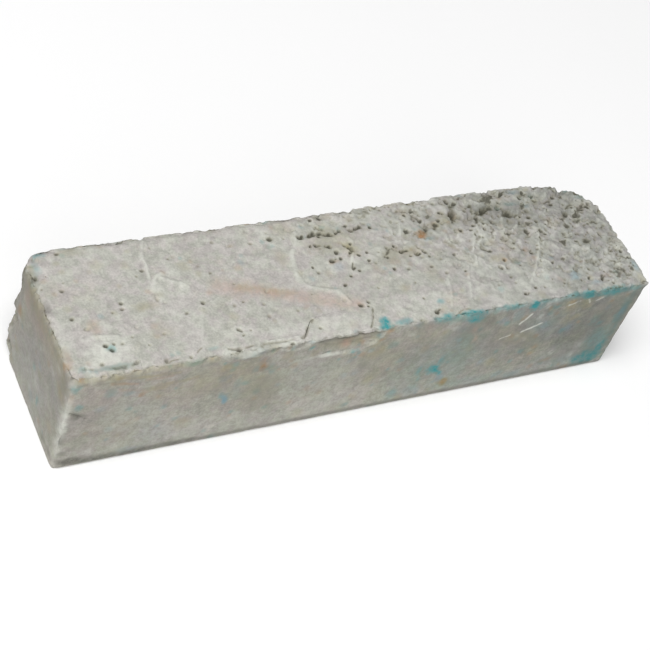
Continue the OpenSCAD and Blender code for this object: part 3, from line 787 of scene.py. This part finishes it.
def wear_edges(clay):
    """Rounds and chips the long edges of the top, and the upright and lower edges less."""
    x, y, z = clay.points.T
    half_width = TOP_HALF_WIDTH + (CRUST_SEAT - z) * SIDE_SLOPE
    from_side = np.maximum(half_width - np.abs(y), 0)
    from_end = np.maximum(HIGH[0] - np.abs(x), 0)
    from_top = TOP - z
    chips = smooth(0.0, 0.5, noise(clay.points, 5.5, 3, 9.0))
    nicks = smooth(0.05, 0.5, noise(clay.points, 2.4, 2, 61.0))
    long_edge = 1 - smooth(0.8, 3.6, np.hypot(from_side, from_top))
    end_edge = 1 - smooth(0.8, 3.4, np.hypot(from_end, from_top))
    upright = 1 - smooth(0.8, 3.4, np.hypot(from_end, from_side))
    foot = 1 - smooth(0.4, 2.2, np.minimum(np.hypot(from_side, z), np.hypot(from_end, z)))
    back_left = smooth(16, 8, x) * (y > 0)
    left_front = (x < 0) & (y < 0)
    clay.push -= long_edge * (0.1 + 0.75 * chips + 0.5 * nicks + 0.7 * back_left)
    clay.push -= end_edge * np.where(x < 0, 0.2 + 1.2 * chips + 0.8 * nicks, 0.2 * chips)
    clay.push -= upright * np.where(left_front, 0.3 + 0.6 * chips, 0.15 * chips)
    clay.push -= foot * 0.15 * chips
    ragged = smooth(-0.3, 0.25, noise(clay.points, 3.4, 3, 63.0))
    ragged = ragged * (0.35 + 0.65 * smooth(4, 20, z))
    rubbed = np.maximum(upright * left_front * ragged, 0.3 * np.maximum(long_edge, end_edge))
    clay.rub_and_highlight(rubbed * (0.6 + 0.4 * chips))
    # The front edge has crumbled to lumps on the left of the edge flake.
    crumbled = (y < -27) * smooth(46.4, 47.8, z) * smooth(-69, -65, x) * smooth(-31, -37, x)
    lumps = noise(clay.points, 3.4, 3, 43.0)
    clay.push += crumbled * 0.9 * lumps
    clay.rub_and_highlight(crumbled * smooth(-0.1, 0.4, lumps))
    clay.darken(0.5 * crumbled * smooth(-0.1, -0.5, lumps))
    for place, reach, depth in EDGE_BITES:
        part, shape = clay.spot(place, np.array(reach))
        rough = 1 + 0.35 * noise(clay.points[part], 2.5, 2, 41.0)
        clay.dig(part, shape * rough, depth, dark=0.1)


def open_hollow(clay):
    """Breaks the shallow hollow out of the front side, under the edge flake, with painted shadow
    under the flake's lip and a painted highlight along its lower rim.
    """
    part = clay.slice_of(HOLLOW_RIM_X[0], HOLLOW_RIM_X[-1])
    x, y, z = clay.drifted[part].T
    rim = np.interp(x, HOLLOW_RIM_X, HOLLOW_RIM_Z) + 0.9 * noise(clay.points[part], 4, 3)
    inside = smooth(0, 1.0, z - rim) * smooth(0, 0.8, HOLLOW_LIP - z) * (y < 0)
    inside = inside * (0.25 + 0.75 * smooth(-36, -25, x))
    deep = HOLLOW_STEP + (HOLLOW_DEPTH - HOLLOW_STEP) * smooth(0, 8, z - rim)
    clay.push[part] -= inside * deep * (1 + 0.35 * noise(clay.points[part], 4, 3, 6.0))
    # Painted shadow under the edge flake's lip, laid in the hollow.
    lip_shadow = inside * smooth(3.5, 0.3, HOLLOW_LIP - z)
    clay.darken(0.5 * lip_shadow, part)
    # Painted highlight along the hollow's lower ledge.
    ledge_highlight = smooth(1.0, 0.2, np.abs(z - rim + 0.2)) * smooth(-32, -26, x) * smooth(2, -2, x) * (y < 0)
    ledge_highlight = ledge_highlight * smooth(-0.5, 0.4, noise(clay.points[part], 3, 2, 57.0))
    clay.rub_and_highlight(0.6 * ledge_highlight, part)
    layers = inside * smooth(0.1, 0.5, noise(clay.points[part] * (0.25, 1, 1), 1.4, 2, 59.0))
    clay.push[part] -= 0.4 * layers
    clay.darken(0.5 * layers, part)


def lift_flakes(clay):
    """Leaves the loose flakes a little proud of the crust round them."""
    x, y, z = clay.points.T
    fade = 1.5
    for low, high, deep, proud in RAISED_FLAKES:
        inside = smooth(low, low + fade, x) * smooth(high, high - fade, x)
        inside = inside * smooth(deep, deep - fade, y)
        clay.push += proud * inside * smooth(46, 48, z)


def score_surface(clay):
    """Draws the veins, the cracks, the furrows and the gouges."""
    for places, height, width in TOP_VEINS:
        part, shape = clay.line([on_top(*place) for place in places], width * 1.8)
        broken = smooth(-0.7, 0.2, noise(clay.points[part], 4, 2, 19.0))
        broken = broken * (1 + 0.5 * noise(clay.points[part], 1.8, 2, 67.0))
        clay.raise_up(part, shape * broken, height)
    for places, depth, width in TOP_CRACKS:
        part, shape = clay.line([on_top(*place) for place in places], width * 1.6)
        open_share = smooth(-0.7, 0.1, noise(clay.points[part], 3, 2, 49.0))
        clay.dig(part, shape * open_share, depth, dark=0.6)
    for places, depth, width in TOP_FURROWS:
        part, shape = clay.line([on_top(*place) for place in places], width * 1.2)
        open_share = smooth(-0.3, 0.3, noise(clay.points[part], 2.1, 2, 47.0))
        clay.dig(part, shape * open_share, depth, dark=0.8)
    for places, depth, width in FRONT_SCORES:
        part, shape = clay.line([on_front(*place) for place in places], width * 1.4)
        if depth > 0:
            clay.dig(part, shape, depth, dark=0.6)
        else:
            clay.raise_up(part, shape, -depth)


def pit_surface(clay):
    """Opens the larger pits one by one, then scatters small ones, most at the handled end."""
    for x, y, radius, depth in TOP_PITS:
        # A raised rim round each pit, painted lighter as rubbed chalk and a painted highlight.
        part, rim = clay.spot(on_top(x, y), top_reach(radius * 2.6, radius * 2.6))
        rim = rim * smooth(-0.2, 0.4, noise(clay.points[part], 2, 1, 53.0))
        clay.raise_up(part, rim, 0.15)
        part, shape = clay.spot(on_top(x, y), top_reach(radius * 1.2, radius * 1.2))
        clean = 0.3 if x < -20 else 0.6
        clay.dig(part, shape, depth, dark=min(1.0, clean + depth * 0.5))
    chance = np.random.default_rng(PIT_SEED)
    up = clay.normals[:, 2]
    weights = {
        "top": smooth(0.7, 0.9, up) * (0.04 + handled_share(clay.points)),
        "sides": (np.abs(up) < 0.4) * 1.0,
        "broken": (up > 0.15) * (up < 0.85) * (clay.points[:, 2] > 6) * 1.0,
    }
    for where, count, small, large, depth in SCATTERED_PITS:
        spots = clay.scatter(chance, weights[where], count, small, large, PIT_FADE)
        for radius, part, shape in spots:
            dark = chance.uniform(0.1, 0.8) * min(1, 1.6 * depth)
            clay.dig(part, shape, depth * radius, dark)


def stain_surface(clay, colours):
    """Paints every stain, smear and streak."""
    views = (
        (TOP_STAINS, on_top, top_reach), (FRONT_STAINS, on_front, side_reach),
        (LEFT_STAINS, on_left, end_reach), (RIGHT_STAINS, on_right, end_reach),
        (BACK_STAINS, on_back, side_reach),
    )
    for stains, place, reach in views:
        for paint, patches in stains:
            for along, up, wide, high, strength in patches:
                size = reach(wide * STAIN_FADE, high * STAIN_FADE)
                part, shape = clay.spot(place(along, up), size)
                clay.tint(part, shape, getattr(colours, paint), strength)
    for smears, place in ((TOP_SMEARS, on_top), (FRONT_SMEARS, on_front)):
        for paint, places, width, strength in smears:
            part, shape = clay.line([place(*point) for point in places], width * SMEAR_FADE)
            clay.tint(part, shape, getattr(colours, paint), strength)


def fleck_surface(clay, colours):
    """Scatters small flecks of colour, most on the sides."""
    chance = np.random.default_rng(FLECK_SEED)
    up = clay.normals[:, 2]
    weights = {"sides": (np.abs(up) < 0.4) * 1.0, "top": smooth(0.7, 0.9, up)}
    for where, paint, count, small, large, strength in SCATTERED_FLECKS:
        spots = clay.scatter(chance, weights[where], count, small, large, FLECK_FADE)
        for _, part, shape in spots:
            clay.tint(part, shape, getattr(colours, paint), strength)


def lean_right_end(clay):
    """Sets the right end back under its upper edge, which overhangs it a little."""
    x, _, z = clay.points.T
    back = CRUST_LEAN * smooth(50.4, 47, z) + END_LEAN * smooth(46, 6, z)
    clay.points[:, 0] -= smooth(108, 127, x) * back


def top_share_of(clay):
    """1 where the pale crust shows and 0 where the cast side does, with an uneven border."""
    x, y, z = clay.points.T
    z = z + 1.2 * noise(clay.points, 7, 3, 27.0) + 0.7 * noise(clay.points, 2.2, 2, 29.0)
    z = z + 1.4 * smooth(24, 29, y) - 0.6 * smooth(-122, -126, x)
    return smooth(48.8, 50.2, z) * smooth(-0.3, 0.1, clay.normals[:, 2])


# ---------------------------------------------------------------- mesh tools

def deselect_all():
    bpy.ops.object.select_all(action="DESELECT")


def make_active(piece):
    deselect_all()
    piece.select_set(True)
    bpy.context.view_layer.objects.active = piece


@contextmanager
def editing(piece):
    """Edit mode on one piece, with nothing selected at first."""
    make_active(piece)
    bpy.ops.object.mode_set(mode="EDIT")
    bpy.ops.mesh.select_all(action="DESELECT")
    try:
        yield
    finally:
        bpy.ops.object.mode_set(mode="OBJECT")


def select_parts(piece, kind, wanted):
    """Selects the edges or faces of a piece, in edit mode, for whose middle wanted is true.
    wanted takes the middle in millimetres, and for faces the normal too."""
    bpy.ops.mesh.select_all(action="DESELECT")
    bpy.ops.mesh.select_mode(type=kind)
    bpy.ops.object.mode_set(mode="OBJECT")
    mesh = piece.data
    if kind == "FACE":
        middles = vectors(mesh.polygons, "center").T / MM
        normals = vectors(mesh.polygons, "normal").T
        mesh.polygons.foreach_set("select", wanted(middles, normals))
    else:
        ends = np.empty(len(mesh.edges) * 2, dtype=int)
        mesh.edges.foreach_get("vertices", ends)
        points = vectors(mesh.vertices, "co") / MM
        start, end = points[ends.reshape(-1, 2)].transpose(1, 2, 0)
        mesh.edges.foreach_set("select", wanted(start, end))
    bpy.ops.object.mode_set(mode="EDIT")


def apply_modifier(piece, kind, **settings):
    make_active(piece)
    modifier = piece.modifiers.new(kind.title(), kind)
    for name, value in settings.items():
        setattr(modifier, name, value)
    bpy.ops.object.modifier_apply(modifier=modifier.name)


# How far the cutting shapes reach past what they cut, in millimetres.
PAST = 8


def cut(piece, cutter, operation):
    apply_modifier(piece, "BOOLEAN", object=cutter, operation=operation, solver="MANIFOLD")


def repaint_cuts(piece, bar):
    """Gives a piece the paint of the bar's nearest points, and leaves the faces of its cuts
    plain away from their rims."""
    reach = 1.2 * MM
    tree = kdtree.KDTree(len(bar.data.vertices))
    for vertex in bar.data.vertices:
        tree.insert(vertex.co, vertex.index)
    tree.balance()
    found = [tree.find(vertex.co) for vertex in piece.data.vertices]
    nearest = np.array([index for _, index, _ in found])
    close = np.array([distance for _, _, distance in found]) < reach
    for name in PAINT_LAYERS:
        paint = np.empty(len(bar.data.vertices), dtype=np.float32)
        bar.data.attributes[name].data.foreach_get("value", paint)
        piece.data.attributes[name].data.foreach_set("value", paint[nearest] * close)


def copy_of(piece, name):
    twin = piece.copy()
    twin.data = piece.data.copy()
    twin.name = twin.data.name = name
    bpy.context.scene.collection.objects.link(twin)
    return twin


def discard(*pieces):
    for piece in pieces:
        mesh = piece.data
        bpy.data.objects.remove(piece)
        bpy.data.meshes.remove(mesh)


def break_corner(bar, corner, reach):
    """Cuts a top corner off along a plane that meets its edges at the three reaches."""
    side = np.sign(corner)
    normal = side / np.array(reach)
    place = np.array(corner) - side * (reach[0], 0, 0)
    with editing(bar):
        bpy.ops.mesh.select_all(action="SELECT")
        bpy.ops.mesh.bisect(plane_co=place * MM, plane_no=normal, use_fill=True, clear_outer=True)


# Breaks at the top's corners: which corner, and the reach along X, Y and down.
BROKEN_CORNERS = [
    ((1, 1, 1), (20.4, 11.5, 30)), ((1, 1, 1), (12, 16.3, 34)), ((1, 1, 1), (33, 6, 12)),
    ((-1, 1, 1), (6.8, 7.4, 80)), ((-1, -1, 1), (4, 3.5, 9)),
]


def cast_bar(sizes):
    """The plain bar: tapered, rounded, and with its corners broken off."""
    deselect_all()
    bpy.ops.mesh.primitive_cube_add(size=1, location=(0, 0, sizes.height / 2), calc_uvs=False)
    bar = bpy.context.object
    bar.name = "rough_bar"
    bar.scale = (sizes.length, sizes.base_width, sizes.height)
    bpy.ops.object.transform_apply(location=True, rotation=True, scale=True)
    with editing(bar):
        select_parts(bar, "FACE", lambda middle, normal: normal[2] > 0.9)
        bpy.ops.transform.resize(value=(1, sizes.top_width / sizes.base_width, 1))
        select_parts(bar, "EDGE", lambda start, end: np.abs(start[2] - end[2]) > 1)
        bpy.ops.mesh.bevel(offset=sizes.upright_radius, segments=5, affect="EDGES")
        select_parts(bar, "EDGE", lambda start, end: np.minimum(start[2], end[2]) > TOP - 0.1)
        bpy.ops.mesh.bevel(offset=sizes.top_radius, segments=4, affect="EDGES")
        select_parts(bar, "EDGE", lambda start, end: np.maximum(start[2], end[2]) < 0.1)
        bpy.ops.mesh.bevel(offset=sizes.base_radius, segments=3, affect="EDGES")
    for side, reach in BROKEN_CORNERS:
        corner = np.array([HIGH[0], TOP_HALF_WIDTH, TOP]) * side
        break_corner(bar, corner, reach)
    apply_modifier(bar, "REMESH", mode="VOXEL", voxel_size=sizes.grain)
    with editing(bar):
        select_parts(bar, "FACE", needs_fine_mesh)
        bpy.ops.mesh.subdivide(number_cuts=1)
    return bar


# Where the mesh is finer: how deep from the top, and the front side's hollow and scratched part,
# as least and greatest X and least Z.
FINE_DEPTH = 2.4
FINE_FRONT = [(-68, 6, 35), (56, 110, 26)]


def needs_fine_mesh(middle, normal):
    x, y, z = middle
    fine = z > TOP - FINE_DEPTH
    for low_x, high_x, low_z in FINE_FRONT:
        fine |= (y < 0) & (x > low_x) & (x < high_x) & (z > low_z)
    return fine


def thicken(piece, height):
    """Makes a flat piece into a solid of this height, in metres."""
    with editing(piece):
        bpy.ops.mesh.select_all(action="SELECT")
        bpy.ops.mesh.extrude_region_move(TRANSFORM_OT_translate={"value": (0, 0, height)})
        bpy.ops.mesh.select_all(action="SELECT")
        bpy.ops.mesh.normals_make_consistent(inside=False)


def crust_cutter(sizes):
    """A slab from the crust's wavy underside to well above the top."""
    margin = PAST * MM
    deselect_all()
    bpy.ops.mesh.primitive_grid_add(
        x_subdivisions=150, y_subdivisions=45, size=1, location=(0, 0, sizes.crust_seat),
        calc_uvs=False)
    slab = bpy.context.object
    slab.scale = (sizes.length + 2 * margin, sizes.base_width + 2 * margin, 1)
    bpy.ops.object.transform_apply(location=True, rotation=True, scale=True)
    thicken(slab, 2 * margin)
    points = vectors(slab.data.vertices, "co")
    low = points[:, 2] < sizes.crust_seat + margin
    points[low, 2] += sizes.seam_waviness * noise(points[low] / MM, 11, 3, 51.0)
    slab.data.vertices.foreach_set("co", points.ravel())
    slab.data.update()
    return slab


PRISM_HEIGHT = TOP - CRUST_SEAT + 2 * PAST


def outline_cutter(outline):
    """An upright prism with the given outline, through the whole crust."""
    deselect_all()
    bpy.ops.mesh.primitive_circle_add(vertices=len(outline), fill_type="NGON", calc_uvs=False)
    prism = bpy.context.object
    for vertex, (x, y) in zip(prism.data.vertices, outline):
        vertex.co = Vector((x, y, CRUST_SEAT - PAST)) * MM
    thicken(prism, PRISM_HEIGHT * MM)
    return prism


def widened(outline, cracks):
    """An outline moved outwards at each corner by the crack's width there."""
    points = np.array(outline, dtype=float)
    ahead = np.roll(points, -1, axis=0) - np.roll(points, 1, axis=0)
    outwards = np.stack([-ahead[:, 1], ahead[:, 0]], axis=1)
    outwards /= np.linalg.norm(outwards, axis=1)[:, None]
    if ((points - points.mean(axis=0)) * outwards).sum() < 0:
        outwards = -outwards
    return points + outwards * np.array(cracks)[:, None]


# Edges that turn by more than this many degrees stay sharp.
SHARP_ANGLE = 55


def hand_over(piece, node, material):
    """Finishes a piece: smooth shading, its material, its body, and the node it stands for."""
    repaint_cuts(piece, bpy.data.objects["rough_bar"])
    make_active(piece)
    bpy.ops.object.shade_smooth_by_angle(angle=math.radians(SHARP_ANGLE))
    piece.data.materials.clear()
    piece.data.materials.append(material)
    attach(piece, BODY)
    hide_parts(node)


# ---------------------------------------------------------------- finishes

class Wire:
    """A socket that takes part in expressions. Each operator adds a Math node."""

    def __init__(self, finish, socket):
        self.finish = finish
        self.socket = socket

    def math(self, operation, first, second):
        return self.finish.node("ShaderNodeMath", {"operation": operation}, {0: first, 1: second})

    def __add__(self, other):
        return self.math("ADD", self, other)

    def __sub__(self, other):
        return self.math("SUBTRACT", self, other)

    def __mul__(self, other):
        return self.math("MULTIPLY", self, other)


GRAIN_DEPTH = 0.3 * MM


class Finish:
    """A material under construction."""

    def __init__(self, name):
        self.material = bpy.data.materials.new(name)
        self.material.use_nodes = True
        self.tree = self.material.node_tree
        self.tree.nodes.clear()

    def node(self, kind, settings, sockets, output=0):
        """Adds a node, sets it up, fills or links its sockets, and returns one output if it has
        any."""
        node = self.tree.nodes.new(kind)
        for name, value in settings.items():
            setattr(node, name, value)
        for name, value in sockets.items():
            if isinstance(value, Wire):
                self.tree.links.new(value.socket, node.inputs[name])
            else:
                node.inputs[name].default_value = value
        return Wire(self, node.outputs[output]) if node.outputs else None

    def place(self):
        return self.node("ShaderNodeTexCoord", {}, {}, "Object")

    def attribute(self, name):
        return self.node("ShaderNodeAttribute", {"attribute_name": name}, {}, "Fac")

    def noise(self, place, size, detail=2.0, roughness=0.5):
        """Noise from 0 to 1 with lumps of about size, in millimetres."""
        return self.node("ShaderNodeTexNoise", {}, {
            "Vector": place, "Scale": 1 / (size * MM), "Detail": detail, "Roughness": roughness})

    def ramp(self, value, low, high, start=0.0, end=1.0):
        """A smooth ramp from start at low to end at high."""
        return self.node("ShaderNodeMapRange", {"interpolation_type": "SMOOTHSTEP"}, {
            "Value": value, "From Min": low, "From Max": high, "To Min": start, "To Max": end})

    def mix(self, share, first, second, blend="MIX"):
        """Colours first and second, mixed by share."""
        first, second = (
            (*value, 1.0) if not isinstance(value, Wire) else value for value in (first, second))
        return self.node("ShaderNodeMix", {"data_type": "RGBA", "blend_type": blend}, {
            0: share, 6: first, 7: second}, 2)

    def dry_surface(self, base_colour, roughness, height=0.0):
        """Ends the material with a dry, rough surface. height is the grain's, from 0 to 1."""
        normal = self.node("ShaderNodeBump", {}, {
            "Strength": 0.75, "Distance": GRAIN_DEPTH, "Height": height})
        surface = self.node("ShaderNodeBsdfPrincipled", {}, {
            "Base Color": base_colour, "Roughness": roughness, "Specular IOR Level": 0.25,
            "Normal": normal})
        self.node("ShaderNodeOutputMaterial", {}, {"Surface": surface})
        return self.material


def chalk_finish(name, colours, whiteness):
    """Weathered chalk: the pale crust above, the smoother cast side below, then dirt and painted
    shade in the hollows, rubbed ridges with a painted highlight, and stains over both. whiteness
    adds fresh chalk dust."""
    finish = Finish(name)
    place = finish.place()
    along, across, height = (
        finish.node("ShaderNodeSeparateXYZ", {}, {"Vector": place}, axis) for axis in range(3))
    top, cavity, ridge = (finish.attribute(layer) for layer in ("top", "cavity", "ridge"))
    broad = finish.noise(place, 26, 2)
    patch = finish.noise(place, 9, 4, 0.6)
    mottle = finish.noise(place, 3.2, 4, 0.65)
    fine = finish.noise(place, 0.9, 3, 0.6)
    # Darker towards the right end and the back.
    right_end_share = finish.ramp(along + (broad - 0.5) * 0.06 + across * 0.25, -0.02, 0.115)

    crust = finish.mix(right_end_share, colours.crust, colours.right_end_crust)
    crust = finish.mix(finish.ramp(patch, 0.5, 0.72, 0, 0.3), crust, colours.cream)
    cast = finish.mix(right_end_share, colours.cast, colours.right_end_cast)
    cast = finish.mix(finish.ramp(patch, 0.42, 0.66, 0, 0.2), cast, colours.cream)
    cast = finish.mix(finish.ramp(broad, 0.45, 0.65, 0, 0.14), cast, colours.ochre)
    cloud = finish.noise(place, 15, 4, 0.65)
    cast = finish.mix(finish.ramp(cloud, 0.48, 0.7, 0, 0.16), cast, colours.soot_and_shade)
    # Painted light: the cast sides are painted lighter towards the underside, for light bounced off
    # the floor.
    cast = finish.mix(finish.ramp(height, 0.0, 0.024, 0.22, 0.0), cast, colours.chalk)
    base = finish.mix(top, cast, crust)

    shade = finish.ramp(mottle, 0.3, 0.7, 0.86, 1.11) * finish.ramp(fine, 0.25, 0.75, 0.87, 1.11)
    shade = shade * finish.ramp(finish.noise(place, 7, 3, 0.6), 0.35, 0.65, 0.99, 1.05)
    base = finish.mix(1.0, base, shade, "MULTIPLY")
    tint_share = finish.ramp(finish.noise(place, 6, 4, 0.65), 0.42, 0.58)
    tint = finish.mix(tint_share, colours.mauve, colours.moss)
    base = finish.mix(1.0, base, tint, "MULTIPLY")
    grime = finish.ramp(finish.noise(place, 4.6, 4, 0.6), 0.5, 0.72, 0, 0.5) * right_end_share * top
    base = finish.mix(grime, base, colours.soot_and_shade)
    grit = finish.noise(place, 1.8, 4, 0.7)
    base = finish.mix(finish.ramp(grit, 0.54, 0.7, 0, 0.6) * right_end_share * top, base, colours.soot_and_shade)
    base = finish.mix(finish.ramp(grit, 0.46, 0.3, 0, 0.4) * right_end_share * top, base, colours.chalk)
    dust = finish.ramp(finish.noise(place, 5.5, 5, 0.7), 0.52, 0.72, 0, 0.35) * top + whiteness
    base = finish.mix(dust, base, colours.chalk)
    # Raised ridges painted lighter: rubbed chalk, and a painted highlight.
    base = finish.mix(ridge * finish.ramp(mottle, 0.3, 0.6, 0.3, 0.65), base, colours.chalk)

    speck = finish.node("ShaderNodeTexVoronoi", {}, {"Vector": place, "Scale": 1 / (2.1 * MM)})
    speck = finish.ramp(speck, 0.2, 0.08) * finish.ramp(patch, 0.42, 0.6)
    speckle = speck * (top * 0.5 + 0.2) * (right_end_share * 0.7 + 0.3)
    base = finish.mix(speckle, base, colours.soot_and_shade)

    stain = finish.node("ShaderNodeCombineColor", {}, {
        channel.title(): finish.attribute("stain_" + channel)
        for channel in ("red", "green", "blue")})
    patchy = finish.ramp(mottle + (fine - 0.5) * 0.5, 0.3, 0.62, 0.55, 1.1)
    base = finish.mix(finish.attribute("stain_cover") * patchy, base, stain)
    base = finish.mix(finish.ramp(cavity, 0.05, 0.5, 0, 0.2) * top, base, colours.ochre)
    # Hollows painted dark: dirt in them, and painted shade.
    dirt_and_shade = finish.ramp(cavity + (fine - 0.5) * 0.3, 0.2, 0.95, 0, 0.9)
    base = finish.mix(dirt_and_shade, base, colours.dirt_and_shade)

    roughness = finish.ramp(mottle, 0.2, 0.8, 0.82, 0.95)
    relief = mottle * (top * 0.5 + 0.35) + fine * (top * 0.45 + 0.25)
    return finish.dry_surface(base, roughness, relief)


def floor_finish(colours):
    finish = Finish("floor")
    place = finish.place()
    shaded = [share * 0.985 for share in colours.floor]
    tone = finish.mix(finish.noise(place, 400, 2), colours.floor, shaded)
    return finish.dry_surface(tone, finish.ramp(finish.noise(place, 60), 0, 1, 0.6, 0.7))


# ---------------------------------------------------------------- operators

class CHALKBLOCK_OT_rough_bar(bpy.types.Operator):
    """Cast the bar, then wear, pit and stain its whole surface"""
    bl_idname = "chalkblock.rough_bar"
    bl_label = "Cast and Wear the Bar"

    def execute(self, context):
        bar = cast_bar(context.scene.chalk_sizes)
        clay = Clay(bar)
        wave_and_grain(clay)
        wear_edges(clay)
        open_hollow(clay)
        lift_flakes(clay)
        score_surface(clay)
        pit_surface(clay)
        fleck_surface(clay, context.scene.chalk_colours)
        stain_surface(clay, context.scene.chalk_colours)
        lean_right_end(clay)
        clay.finish(top_share_of(clay))
        return {"FINISHED"}


class CHALKBLOCK_OT_body(bpy.types.Operator):
    """Make the dense body from the bar below the crust"""
    bl_idname = "chalkblock.body"
    bl_label = "Body"

    def execute(self, context):
        slab = crust_cutter(context.scene.chalk_sizes)
        body = copy_of(bpy.data.objects["rough_bar"], "chalk_body")
        cut(body, slab, "DIFFERENCE")
        discard(slab)
        material = chalk_finish("cast_chalk", context.scene.chalk_colours, 0.0)
        hand_over(body, "block_body", material)
        return {"FINISHED"}


class CHALKBLOCK_OT_crust(bpy.types.Operator):
    """Make the crust from the top of the bar, with openings for the loose flakes"""
    bl_idname = "chalkblock.crust"
    bl_label = "Crust"

    def execute(self, context):
        slab = crust_cutter(context.scene.chalk_sizes)
        crust = copy_of(bpy.data.objects["rough_bar"], "chalk_crust")
        cut(crust, slab, "INTERSECT")
        discard(slab)
        flakes = ((EDGE_FLAKE, EDGE_FLAKE_CRACK), (CORNER_FLAKE, CORNER_FLAKE_CRACK))
        for outline, cracks in flakes:
            opening = outline_cutter(widened(outline, cracks))
            cut(crust, opening, "DIFFERENCE")
            discard(opening)
        material = chalk_finish("crust_chalk", context.scene.chalk_colours, 0.0)
        hand_over(crust, "top_crust", material)
        return {"FINISHED"}


class CHALKBLOCK_OT_flakes(bpy.types.Operator):
    """Make the two loose flakes of crust, and put the rough bar away"""
    bl_idname = "chalkblock.flakes"
    bl_label = "Loose Flakes"

    def execute(self, context):
        bar = bpy.data.objects["rough_bar"]
        material = chalk_finish("flake_chalk", context.scene.chalk_colours, FLAKE_DUST)
        for node, outline in (("edge_flake", EDGE_FLAKE), ("corner_flake", CORNER_FLAKE)):
            slab = crust_cutter(context.scene.chalk_sizes)
            prism = outline_cutter(outline)
            flake = copy_of(bar, "chalk_" + node)
            cut(flake, slab, "INTERSECT")
            cut(flake, prism, "INTERSECT")
            discard(slab, prism)
            hand_over(flake, node, material)
        discard(bar)
        return {"FINISHED"}


# The camera: what it aims at, and its azimuth, elevation and roll in degrees and lens in mm.
AIM = Vector((-9.0, -6.8, 25.8)) * MM
CAMERA_AZIMUTH = -41.655
CAMERA_ELEVATION = 46.405
CAMERA_ROLL = 23.22
CAMERA_LENS = 89.2

# Lights: name, azimuth and elevation in degrees, distance and width in metres, and watts.
LIGHTS = [("overhead_light", -60, 68, 3.0, 2.0, 93), ("front_light", -12, 28, 3.4, 2.4, 20)]
SKY_STRENGTH = 0.22
FLOOR_SIZE = 8


def towards(azimuth, elevation):
    """Unit vector from the block to a place at this azimuth and elevation, in degrees.
    Azimuth 0 is in front of the block, and a negative one is round its left end."""
    a, e = math.radians(azimuth), math.radians(elevation)
    return Vector((math.sin(a) * math.cos(e), -math.cos(a) * math.cos(e), math.sin(e)))


def add_light(name, azimuth, elevation, distance, width, watts):
    """A square soft light that faces the block."""
    light = bpy.data.lights.new(name, "AREA")
    light.shape = "SQUARE"
    light.size = width
    light.energy = watts
    lamp = bpy.data.objects.new(name, light)
    back = towards(azimuth, elevation)
    lamp.location = back * distance
    lamp.rotation_euler = (-back).to_track_quat("-Z", "Y").to_euler()
    bpy.context.scene.collection.objects.link(lamp)


class CHALKBLOCK_OT_stage(bpy.types.Operator):
    """Add the floor, the soft lights and the camera"""
    bl_idname = "chalkblock.stage"
    bl_label = "Stage"

    def execute(self, context):
        scene = context.scene
        deselect_all()
        bpy.ops.mesh.primitive_plane_add(size=FLOOR_SIZE)
        floor = context.object
        floor.name = "floor"
        floor.data.materials.append(floor_finish(scene.chalk_colours))
        for light in LIGHTS:
            add_light(*light)
        world = bpy.data.worlds.new("studio")
        world.use_nodes = True
        sky = world.node_tree.nodes["Background"]
        sky.inputs["Color"].default_value = (1, 1, 1, 1)
        sky.inputs["Strength"].default_value = SKY_STRENGTH
        scene.world = world
        scene.view_settings.view_transform = "Standard"
        camera = bpy.data.objects.new("camera", bpy.data.cameras.new("camera"))
        camera.data.sensor_width = 36
        camera.data.lens = CAMERA_LENS
        back = towards(CAMERA_AZIMUTH, CAMERA_ELEVATION)
        camera.location = AIM + back * scene.chalk_sizes.camera_distance
        level = (-back).to_track_quat("-Z", "Y")
        camera.rotation_mode = "QUATERNION"
        camera.rotation_quaternion = level @ Quaternion((0, 0, 1), math.radians(CAMERA_ROLL))
        scene.collection.objects.link(camera)
        scene.camera = camera
        return {"FINISHED"}


class CHALKBLOCK_PT_panel(bpy.types.Panel):
    """Lists the steps that build the chalk block"""
    bl_idname = "CHALKBLOCK_PT_panel"
    bl_label = "Chalk Block"
    bl_space_type = "VIEW_3D"
    bl_region_type = "UI"
    bl_category = "Chalk Block"

    def draw(self, context):
        for step in STEPS:
            self.layout.operator(step.bl_idname)
        for group in (context.scene.chalk_sizes, context.scene.chalk_colours):
            column = self.layout.column()
            for name in group.__annotations__:
                column.prop(group, name)


STEPS = (CHALKBLOCK_OT_stage, CHALKBLOCK_OT_rough_bar, CHALKBLOCK_OT_body, CHALKBLOCK_OT_crust,
         CHALKBLOCK_OT_flakes)
CLASSES = (ChalkBlockSizes, ChalkBlockColours, *STEPS, CHALKBLOCK_PT_panel)


def register():
    for item in CLASSES:
        bpy.utils.register_class(item)
    bpy.types.Scene.chalk_sizes = bpy.props.PointerProperty(type=ChalkBlockSizes)
    bpy.types.Scene.chalk_colours = bpy.props.PointerProperty(type=ChalkBlockColours)


def unregister():
    del bpy.types.Scene.chalk_colours
    del bpy.types.Scene.chalk_sizes
    for item in reversed(CLASSES):
        bpy.utils.unregister_class(item)


def main():
    register()
    bpy.ops.chalkblock.stage()
    bpy.ops.chalkblock.rough_bar()
    bpy.ops.chalkblock.body()
    bpy.ops.chalkblock.crust()
    bpy.ops.chalkblock.flakes()


if __name__ == "__main__":
    main()
